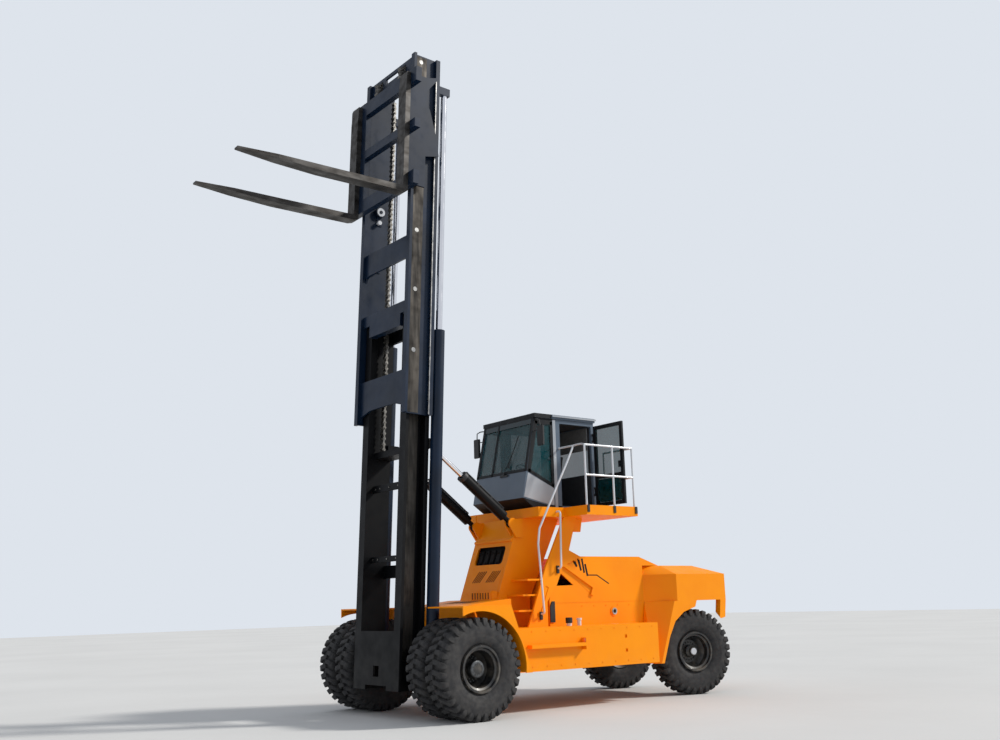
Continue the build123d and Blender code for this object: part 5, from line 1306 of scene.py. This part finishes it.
@dataclass
class MastTrim(Assembly):
    """Worn roller paths, plugs, guide rollers, bolted bars and tilt pipes on the mast."""

    path_x: Pair = (0.59, 0.84)
    web_y: float = 0.805
    flange_y: float = 0.87
    low: float = 5.08
    high: float = 11.9
    # Where the painted highlights along the flanges' edges lie.
    worn_x: float = 0.411
    worn_z: Pair = (5.07, 11.5)
    plug_count: int = 6
    plug_step: float = 1.12
    roller_x: float = 0.59
    roller_y: float = -0.74
    roller_z: Pair = (9.29, 8.33)
    bar_z: tuple[Pair, ...] = ((3.80, 3.93), (2.56, 2.66))
    bolt_y: tuple[float, ...] = (-0.46, -0.3, 0.0, 0.3, 0.46)
    pipe_y: float = 0.56
    pipe_back: Pair = (-1.765, 3.262)
    pipe_front: Pair = (0.185, 4.61)

    def roller_paths(self) -> None:
        """The strips that the rollers have rubbed bare, with their plugs, and a painted highlight along each flange's
        edge.
        """
        lean, web, highlight_x = self.shop.lean, self.web_y, self.worn_x
        strip = Solid().box((self.path_x[0], web, self.low), (self.path_x[1], web + 0.003, self.high))
        plug = Solid().rod((0, web + 0.002, 0), (0, web + 0.006, 0), 0.042, 20).rounded(0.0015).done()
        steel = self.shop.finish(WORN_STEEL)
        plugs = self.shop.repeat.copies(plug, self.plug_count, steel, step=(0, 0, self.plug_step))
        # Painted highlight: thin bright steel strips on the rear flange's edge stand for the light it catches.
        edge = Solid().boxes(
            ((highlight_x, self.flange_y - 0.03, self.worn_z[0]), (highlight_x + 0.0015, self.flange_y - 0.006, self.worn_z[1])),
            ((highlight_x - 0.016, self.flange_y, self.worn_z[0]), (highlight_x, self.flange_y + 0.0012, self.worn_z[1])),
        )
        lower = Solid().box((0.44, 0.585, 0.9), (0.66, 0.588, 7.0))
        for name, placed, slot, body, finish in (
            ("roller_paths", self.shop.pair(strip, lean), Slot.MAST, "moving_mast", WORN_STEEL),
            ("web_plugs", self.shop.pair(plugs, lean, (0.715, 0, 6.2)), Slot.CHAIN, "moving_mast", BRIGHT_STEEL),
            ("worn_edges", self.shop.pair(edge, lean), Slot.MAST, "moving_mast", BRIGHT_STEEL),
            ("lower_roller_paths", self.shop.pair(lower, lean), Slot.MAST, "fixed_mast", WORN_STEEL),
        ):
            self.shop.piece(name, placed, slot, body, finish=finish)

    def guide_rollers(self) -> None:
        """The bright guide rollers on the right rail's inner face, with their dark rims and brackets."""
        bright = Solid().spun([(0.03, 0.0), (0.084, 0.0), (0.084, 0.056), (0.03, 0.056)], 40)
        roller = bright.rod((0.02, -0.01, -0.22), (0.02, 0.06, -0.22), 0.042, 24).done()
        profile = [(0.0845, 0.004), (0.1, 0.004), (0.104, 0.01), (0.104, 0.048), (0.1, 0.053), (0.0845, 0.053)]
        rim = Solid().spun(profile, 40).done()
        x, brackets = self.roller_x, Solid()
        for z in self.roller_z:
            brackets.rod((x, -0.76, z), (x, -0.672, z), 0.034, 20)
            brackets.box((x - 0.06, -0.76, z - 0.27), (x + 0.06, -0.744, z + 0.1))
        places = [self.shop.lean @ Matrix.Translation((x, self.roller_y, z)) for z in self.roller_z]
        self.shop.piece("guide_rollers", [(roller, place) for place in places], Slot.RAIL, "moving_mast")
        held = self.shop.single(brackets.rounded(0.004), self.shop.lean) + [(rim, place) for place in places]
        self.shop.piece("guide_roller_brackets", held, Slot.MAST, "moving_mast")

    def bars(self) -> None:
        """The bars bolted across the fixed mast."""
        steel, bolts = Solid(), Solid()
        for low, high in self.bar_z:
            steel.box((0.60, -0.539, low), (0.63, 0.539, high))
            middle = (low + high) / 2
            for y in self.bolt_y:
                bolts.rod((0.63, y, middle), (0.642, y, middle), 0.016, 6)
        placed = self.shop.single(steel.rounded(0.004), self.shop.lean)
        self.shop.piece("hose_bars", placed, Slot.MAST, "fixed_mast", finish=GLOSS_BLACK)
        self.shop.piece("hose_bar_bolts", self.shop.single(bolts, self.shop.lean), Slot.CHAIN, "fixed_mast")

    def pipes(self) -> None:
        """The steel pipe, its port blocks and its clamps along each tilt cylinder's barrel."""
        for side in Side:
            y = self.pipe_y * side.value
            low = Vector((self.pipe_back[0] + self.shop.axle_x, y, self.pipe_back[1]))
            high = self.shop.lean @ Vector((self.pipe_front[0], y, self.pipe_front[1]))
            along = (high - low).normalized()
            up = Vector((-along.z, 0, along.x))
            rise, solid = up * 0.122, Solid()
            near, far = low + along * 0.3, low + along * 1.3
            for point in (near, far):
                solid.rod(point + up * 0.06, point + up * 0.128, 0.026, 8)
            solid.tube([near + rise, near + along * 0.1 + rise, far - along * 0.1 + rise, far + rise], 0.014)
            for step in (0.62, 0.98):
                clamp = low + along * step + up * 0.1
                solid.box(clamp - Vector((0.02, 0.02, 0.02)), clamp + Vector((0.02, 0.02, 0.02)))
            collar = low + along * 1.36
            solid.rod(collar - along * 0.07, collar, 0.102, 32)
            placed = self.shop.single(solid, Matrix())
            self.shop.piece(f"tilt_pipe_{side.label}", placed, Slot.AXLE, f"tilt_barrel_{side.label}")

    def build(self) -> None:
        """Make all the mast's trim."""
        self.roller_paths()
        self.guide_rollers()
        self.bars()
        self.pipes()


@dataclass
class BodyTrim(Assembly):
    """Hood ribs, painted shade in the hood's slots and its dark seams, rail link, bolts, rail feet, filler cap and
    fitting with painted shade in its middle, on the bodywork.
    """

    side_y: float = 1.05
    box_y: float = 1.63
    rib_wide: float = 0.062
    rib: tuple[Pair, ...] = ((-2.567, 2.496), (-3.303, 2.082), (-3.254, 1.961))
    slots: tuple[tuple[Pair, Pair], ...] = (
        ((-2.872, 2.53), (-2.9, 2.47)),
        ((-2.965, 2.56), (-3.005, 2.4)),
        ((-3.045, 2.575), (-3.084, 2.36)),
        ((-3.12, 2.48), (-3.163, 2.3)),
    )
    seam: tuple[Pair, ...] = ((-3.17, 2.297), (-3.401, 2.295), (-3.689, 2.139))

    def fasteners(self) -> None:
        """Bolt heads along the side boxes and the hood."""
        head = Solid().rod((0, 0, 0), (0, 0.008, 0), 0.012, 6).done()
        meshes = []
        for start, step, count in (
            ((-1.32, self.box_y, 1.34), -0.32, 10),
            ((-1.32, self.box_y, 0.76), -0.32, 10),
            ((-3.0, self.side_y, 1.74), -0.3, 6),
        ):
            row = self.shop.repeat.copies(head, count, self.shop.wardrobe.get(Slot.ORANGE), step=(step, 0, 0))
            meshes += self.shop.pair(row, at=start)
        self.shop.piece("body_bolts", meshes, Slot.ORANGE)

    def black_parts(self) -> None:
        """The rails' black feet and a black plate low on the side."""
        solid = Solid().boxes(((-2.0, 1.09, 1.52), (-1.94, 1.12, 1.66)), ((-2.43, 1.09, 2.33), (-2.37, 1.12, 2.47)))
        for x in (-2.66, -3.31, -3.86):
            solid.box((x - 0.03, 1.72, 3.40), (x + 0.03, 1.735, 3.53))
        plate = ((-2.225, 1.47), (-2.225, 1.74), (-2.27, 1.83), (-2.325, 1.83), (-2.325, 1.47))
        solid.prism([(x, self.side_y, z) for x, z in plate], (0, 0.02, 0))
        self.shop.piece("black_fittings", self.shop.single(solid.rounded(0.004)), Slot.PLASTIC)

    def caps(self) -> None:
        """The filler cap and the round fitting in the hood's side, with painted shade in the fitting's middle."""
        cap = Solid().rod((-2.45, 1.3, 1.45), (-2.45, 1.3, 1.545), 0.0625, 32).rounded(0.004)
        middle = self.shop.shift @ Matrix.Translation((-3.797, 1.064, 1.626))
        ring = Solid().spun([(0.036, 0.0), (0.062, 0.0), (0.062, 0.012), (0.036, 0.008)], 40)
        # Painted shade: a near-black disc in the ring's middle.
        plug = Solid().rod((0, 0, 0), (0, 0.006, 0), 0.0355, 32)
        self.shop.piece("filler_cap", self.shop.single(cap), Slot.PLASTIC)
        self.shop.piece("hood_fitting", self.shop.single(ring, middle), Slot.RAIL, finish=BRIGHT_STEEL)
        self.shop.piece("hood_fitting_plug", self.shop.single(plug, middle), Slot.PLASTIC, finish=SHADOW)

    def hood_marks(self) -> None:
        """The raised rib on the hood's sides, painted shade inside its slots, and its dark seams."""
        y, (high, bend, low) = self.side_y, self.rib
        edge = (*self.rib, (-3.222, 1.955), (-2.545, 2.462))
        plate = Solid().prism([(x, y, z) for x, z in edge], (0, 0.004, 0))
        long_rib = Solid().strip(high, bend, self.rib_wide, y, y + 0.036).rounded(0.008, 3)
        short_rib = Solid().strip(bend, low, self.rib_wide, y, y + 0.035).rounded(0.008, 3)
        ribs = [placed for solid in (plate, long_rib, short_rib) for placed in self.shop.pair(solid)]
        self.shop.piece("hood_ribs", ribs, Slot.ORANGE)
        dark = Solid()
        # Painted shade in the slots; the seams below are dark joints.
        for start, end in self.slots:
            dark.strip(start, end, 0.042, y, y + 0.0012)
        for start, end in zip(self.seam, self.seam[1:]):
            dark.strip(start, end, 0.02, y, y + 0.001)
        self.shop.piece("hood_slot_insides", self.shop.pair(dark), Slot.PLASTIC, finish=SHADOW)

    def rail_link(self) -> None:
        """The bent tube that joins the stair rail to the walkway's rail."""
        path = [(-2.81, 1.2, 4.688), (-2.83, 1.3, 4.7), (-2.82, 1.42, 4.695), (-2.76, 1.56, 4.665), (-2.66, 1.68, 4.64)]
        link = Solid().tube(path, 0.019, 14)
        self.shop.piece("rail_link", self.shop.single(link, smooth_angle=1.2), Slot.RAIL)

    def build(self) -> None:
        """Make all the body's trim."""
        self.hood_marks()
        self.rail_link()
        self.fasteners()
        self.black_parts()
        self.caps()


@dataclass
class TowerTrim(Assembly):
    """The tower's louvre cover, the valve bank in its window and the grilles at its foot, with painted shade in the
    louvres' gaps, the window and the grilles' slots.
    """

    foot: Pair = (-1.4, 1.9)
    head: Pair = (-1.93, 3.355)
    deck: Pair = (-0.45, 1.8)
    slant: float = math.radians(34)
    louvre_groups: Pair = (-0.14, 0.28)
    louvre_count: int = 5
    louvre_step: float = 0.054
    louvre_v: float = 0.43
    cover_bolts: tuple[Pair, ...] = (
        (-0.4, 0.12), (0.49, 0.12), (-0.4, 0.595), (0.49, 0.595), (0.045, 0.12), (0.045, 0.595)
    )
    valve_count: int = 5
    valve_step: float = 0.18

    def sloped(self, low: Pair, high: Pair) -> Matrix:
        """A frame on a sloped face: across, along the slope from its low end, outwards.

        Args:
            low: the slope's low end.
            high: its high end.

        Returns:
            The frame.
        """
        along = Vector((high[0] - low[0], 0, high[1] - low[1])).normalized()
        across = Vector((0, 1, 0))
        rows = Matrix((across, along, across.cross(along))).transposed().to_4x4()
        return self.shop.shift @ Matrix.Translation((low[0], 0, low[1])) @ rows

    def louvres(self) -> None:
        """The bolted cover with its two groups of slanted louvres, and painted shade in the gaps between them."""
        face = self.sloped(self.foot, self.head)
        cover = Solid().box((-0.43, 0.09, -0.001), (0.52, 0.625, 0.004)).rounded(0.002)
        blade = Solid().prism([(-0.032, -0.13, 0.003), (-0.014, -0.13, 0.003), (-0.018, -0.13, 0.008)], (0, 0.26, 0))
        gap = Solid().box((-0.013, -0.128, 0.003), (0.007, 0.128, 0.0048))
        bolt = Solid().rod((0, 0, 0.003), (0, 0, 0.011), 0.011, 6).done()
        turn = Matrix.Rotation(-self.slant, 4, "Z")
        step = tuple(turn.inverted() @ Vector((self.louvre_step, 0.0, 0)))
        places = [
            face @ Matrix.Translation((middle - 2 * self.louvre_step, self.louvre_v, 0)) @ turn
            for middle in self.louvre_groups
        ]
        copies, orange, dark = self.shop.repeat.copies, self.shop.wardrobe.get(Slot.ORANGE), self.shop.finish(SHADOW)
        blades = copies(blade.done(), self.louvre_count, orange, step=step)
        # Painted shade: the gaps between the blades are near-black strips.
        gaps = copies(gap.done(), self.louvre_count, dark, step=step)
        meshes = self.shop.single(cover, face) + [(blades, place) for place in places]
        meshes += [(bolt, face @ Matrix.Translation((u, v, 0))) for u, v in self.cover_bolts]
        self.shop.piece("tower_louvres", meshes, Slot.ORANGE)
        self.shop.piece("tower_louvre_gaps", [(gaps, place) for place in places], Slot.PLASTIC, finish=SHADOW)

    def window(self) -> None:
        """The valve bank seen through the tower's window, near-black as painted shade inside the hollow tower."""
        solid = Solid().box((-0.52, 0.58, -0.12), (0.52, 1.12, -0.112))
        for k in range(self.valve_count):
            u = -0.36 + self.valve_step * k
            solid.box((u - 0.055, 0.68, -0.113), (u + 0.055, 0.98, -0.06))
            solid.rod((u, 0.72, -0.06), (u, 0.72, -0.035), 0.03, 12)
            solid.rod((u, 0.92, -0.06), (u, 0.92, -0.03), 0.022, 6)
        face = self.sloped(self.foot, self.head)
        # Painted shade: the backing and the valves take the near-black slot shadow finish.
        self.shop.piece("valve_bank", self.shop.single(solid.rounded(0.004), face), Slot.PLASTIC, finish=SHADOW)

    def grilles(self) -> None:
        """The slotted box at the tower's foot and the slots in the deck, each slot painted near-black as shade."""
        box = Solid().box((-1.44, -0.08, 1.868), (-1.27, 0.56, 2.05)).rounded(0.022, 3)
        slot = Solid().box((-0.001, -0.012, -0.055), (0.0012, 0.012, 0.055))
        long_slot = Solid().box((-0.012, 0.42, 0.0), (0.012, 0.72, 0.0015)).rounded(0.0005)
        front = self.shop.shift @ Matrix.Translation((-1.27, 0.0, 1.962))
        deck = self.sloped(self.deck, self.foot) @ Matrix.Translation((-0.363, 0, 0))
        copies, dark = self.shop.repeat.copies, self.shop.finish(SHADOW)
        # Painted shade: each slot is a near-black strip.
        slots = [
            (copies(slot.done(), 7, dark, step=(0, 0.08, 0)), front),
            (copies(long_slot.done(), 12, dark, step=(0.066, 0, 0)), deck),
        ]
        self.shop.piece("foot_grille", self.shop.single(box), Slot.ORANGE)
        self.shop.piece("grille_slots", slots, Slot.PLASTIC, finish=SHADOW)

    def build(self) -> None:
        """Make all the tower's trim."""
        self.louvres()
        self.window()
        self.grilles()


@dataclass
class SeatPads(Assembly):
    """The driver's seat: two swollen cloth pads on a moulded shell and pedestal."""

    front: float = -2.85
    rear: float = -3.35
    floor: float = 3.58
    base: float = 3.9
    rise: float = 4.02
    top: float = 4.65
    rake: float = 0.09
    cushion: Point = (0.468, 0.47, 0.098)
    back: Point = (0.6, 0.46, 0.085)
    voxel: float = 0.006
    cloth_frames: int = 20
    channel_share: float = 0.3
    channel_depth: float = 0.007
    channel_wide: float = 0.008

    def swollen(self, mesh: Mesh, cap: float) -> Mesh:
        """Let cloth pressure swell a closed pad.

        Args:
            mesh: the pad's closed mesh, a little smaller than the pad.
            cap: the furthest that a point may move, in metres.

        Returns:
            The swollen mesh, smooth, with no modifier left.
        """
        scene = bpy.context.scene
        pad = linked("pad", mesh)
        remesh = pad.modifiers.new("remesh", "REMESH")
        remesh.mode, remesh.voxel_size, remesh.use_smooth_shade = "VOXEL", self.voxel, True
        still = baked(pad)
        pad.modifiers.clear()
        pad.data = still
        cloth = pad.modifiers.new("cloth", "CLOTH")
        cloth.settings.use_pressure = True
        cloth.settings.uniform_pressure_force = 4.0
        cloth.settings.effector_weights.gravity = 0.0
        for step in range(1, self.cloth_frames + 1):
            scene.frame_set(step)
        moved = bpy.data.meshes.new_from_object(pad.evaluated_get(bpy.context.evaluated_depsgraph_get()))
        for start, end in zip(still.vertices, moved.vertices):
            shift = end.co - start.co
            start.co += shift * min(1.0, cap / max(shift.length, 1e-9))
        pad.modifiers.clear()
        scene.frame_set(1)
        bpy.data.objects.remove(pad)
        return still

    def pad(self, size: Point) -> Mesh:
        """A crowned pad about the origin, pulled in between its corners, with two sewn channels.

        Args:
            size: its length, width and height.

        Returns:
            The pad's mesh.
        """
        solid = Solid().box(tuple(-v / 2 for v in size), tuple(v / 2 for v in size))
        bmesh.ops.subdivide_edges(solid.bm, edges=solid.bm.edges, cuts=7, use_grid_fill=True)
        for vertex in solid.bm.verts:
            u, v = 2 * vertex.co.x / size[0], 2 * vertex.co.y / size[1]
            vertex.co.x *= 1 - 0.035 * (1 - v * v)
            vertex.co.y *= 1 - 0.035 * (1 - u * u)
            vertex.co.z *= 0.82 + 0.18 * (1 - u * u) * (1 - v * v)
        mesh = self.swollen(solid.rounded(0.02, 3, 0.9).done(1.2), 0.01)
        for vertex in mesh.vertices:
            away = min(abs(abs(vertex.co.y) - size[1] * self.channel_share), 1.0)
            sink = self.channel_depth * math.exp(-((away / self.channel_wide) ** 2))
            vertex.co.z -= math.copysign(sink, vertex.co.z)
        for polygon in mesh.polygons:
            polygon.use_smooth = True
        return mesh

    def build(self) -> None:
        """Make the pads and what carries them."""
        middle = Matrix.Translation(((self.front + self.rear) / 2, 0, self.base + 0.063))
        rest = Matrix.Translation((self.rear + 0.018, 0, (self.rise + self.top) / 2 + 0.004))
        lean = Matrix.Rotation(-math.atan2(self.rake, self.top - self.rise) - math.pi / 2, 4, "Y")
        placed = {
            "seat_cushion": (self.pad(self.cushion), self.shop.shift @ middle),
            "seat_back_pad": (self.pad(self.back), self.shop.shift @ rest @ lean),
        }
        for name, pad in placed.items():
            obj = self.shop.piece(name, [pad], Slot.SEAT, finish=PAD_CLOTH)
        rear, front, base = self.rear, self.front, self.base
        shell = Solid().boxes(
            ((rear + 0.1, -0.15, self.floor), (front - 0.1, 0.15, base - 0.02)),
            ((rear + 0.01, -0.235, base - 0.02), (front - 0.02, 0.235, base + 0.012)),
            ((rear + 0.1, -0.235, base + 0.01), (front - 0.15, -0.2, base + 0.045)),
            ((rear + 0.1, 0.2, base + 0.01), (front - 0.15, 0.235, base + 0.045)),
        )
        shell.rod((rear + 0.1, -0.2, self.floor + 0.15), (rear + 0.1, 0.2, self.floor + 0.15), 0.02, 12)
        self.shop.piece("seat_shell", self.shop.single(shell.rounded(0.008)), Slot.PLASTIC, replaces=["seat"])


@dataclass
class Studio(Assembly):
    """Pale floor, soft light and the camera that matches the photograph."""

    eye: Point = (10.412, 16.152, 1.823)
    yaw: float = math.radians(-127.656)
    pitch: float = math.radians(12.357)
    roll: float = math.radians(-1.617)
    lens: float = 38.36
    sun_from: Point = (-0.72, 0.45, 0.62)
    sun_energy: float = 3.0
    sun_angle: float = math.radians(7)
    sun_colour: Point = (1.0, 0.97, 0.92)
    backdrop: tuple[Colour, float] = ((222, 228, 236), 1.0)
    glow: tuple[Colour, float] = ((222, 227, 236), 0.75)
    floor_half: float = 90.0

    def camera(self) -> None:
        """Place the camera."""
        data = bpy.data.cameras.new("camera")
        data.lens = self.lens
        data.sensor_width = 36.0
        data.clip_end = 400.0
        level = math.cos(self.pitch)
        forward = Vector((math.cos(self.yaw) * level, math.sin(self.yaw) * level, math.sin(self.pitch)))
        right = Vector((math.sin(self.yaw), -math.cos(self.yaw), 0))
        up = right.cross(forward)
        side = right * math.cos(self.roll) + up * math.sin(self.roll)
        top = -right * math.sin(self.roll) + up * math.cos(self.roll)
        rows = Matrix((side, top, -forward)).transposed().to_4x4()
        obj = linked("camera", data)
        obj.matrix_world = Matrix.Translation(Vector(self.eye) + Vector((self.shop.axle_x, 0, 0))) @ rows
        bpy.context.scene.camera = obj

    def light(self) -> None:
        """Set the sun and the world, which shows the camera the backdrop and lights the truck with the glow."""
        sun = bpy.data.lights.new("key", "SUN")
        sun.energy, sun.angle, sun.color = self.sun_energy, self.sun_angle, self.sun_colour
        linked("key", sun).rotation_euler = Vector(self.sun_from).to_track_quat("Z", "Y").to_euler()
        world = bpy.data.worlds.new("studio")
        world.use_nodes = True
        bpy.context.scene.world = world
        nodes, links = world.node_tree.nodes, world.node_tree.links
        nodes.clear()
        mix = nodes.new("ShaderNodeMixShader")
        links.new(nodes.new("ShaderNodeLightPath").outputs["Is Camera Ray"], mix.inputs["Fac"])
        for place, (colour, strength) in ((1, self.glow), (2, self.backdrop)):
            ground = nodes.new("ShaderNodeBackground")
            ground.inputs["Color"].default_value = linear(colour)
            ground.inputs["Strength"].default_value = strength
            links.new(ground.outputs[0], mix.inputs[place])
        links.new(mix.outputs[0], nodes.new("ShaderNodeOutputWorld").inputs["Surface"])

    def floor(self) -> None:
        """Lay the pale floor."""
        mesh = Solid().box((-self.floor_half, -self.floor_half, -0.3), (self.floor_half, self.floor_half, 0.0)).done()
        finish = Plain("floor_pale", (206, 206, 204), (200, 200, 198), 0.9, 2.0, 0.02)
        mesh.materials.append(finish.material())
        obj = linked("floor", mesh)

    def build(self) -> None:
        """Set the whole stage."""
        self.camera()
        self.light()
        self.floor()
        bpy.context.scene.view_settings.view_transform = "Standard"


def main() -> None:
    """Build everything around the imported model."""
    logging.basicConfig(level=logging.INFO, format="%(message)s")
    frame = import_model()
    wardrobe = Wardrobe(frame)
    wardrobe.dress_nodes()
    shop = Workshop(wardrobe)
    for kind in (Studio, Wheels, LeafChains, CabTrim, SeatPads, MastTrim, TowerTrim, BodyTrim):
        kind(shop).build()
        LOG.info("%s built", kind.__name__)


if __name__ == "__main__":
    main()
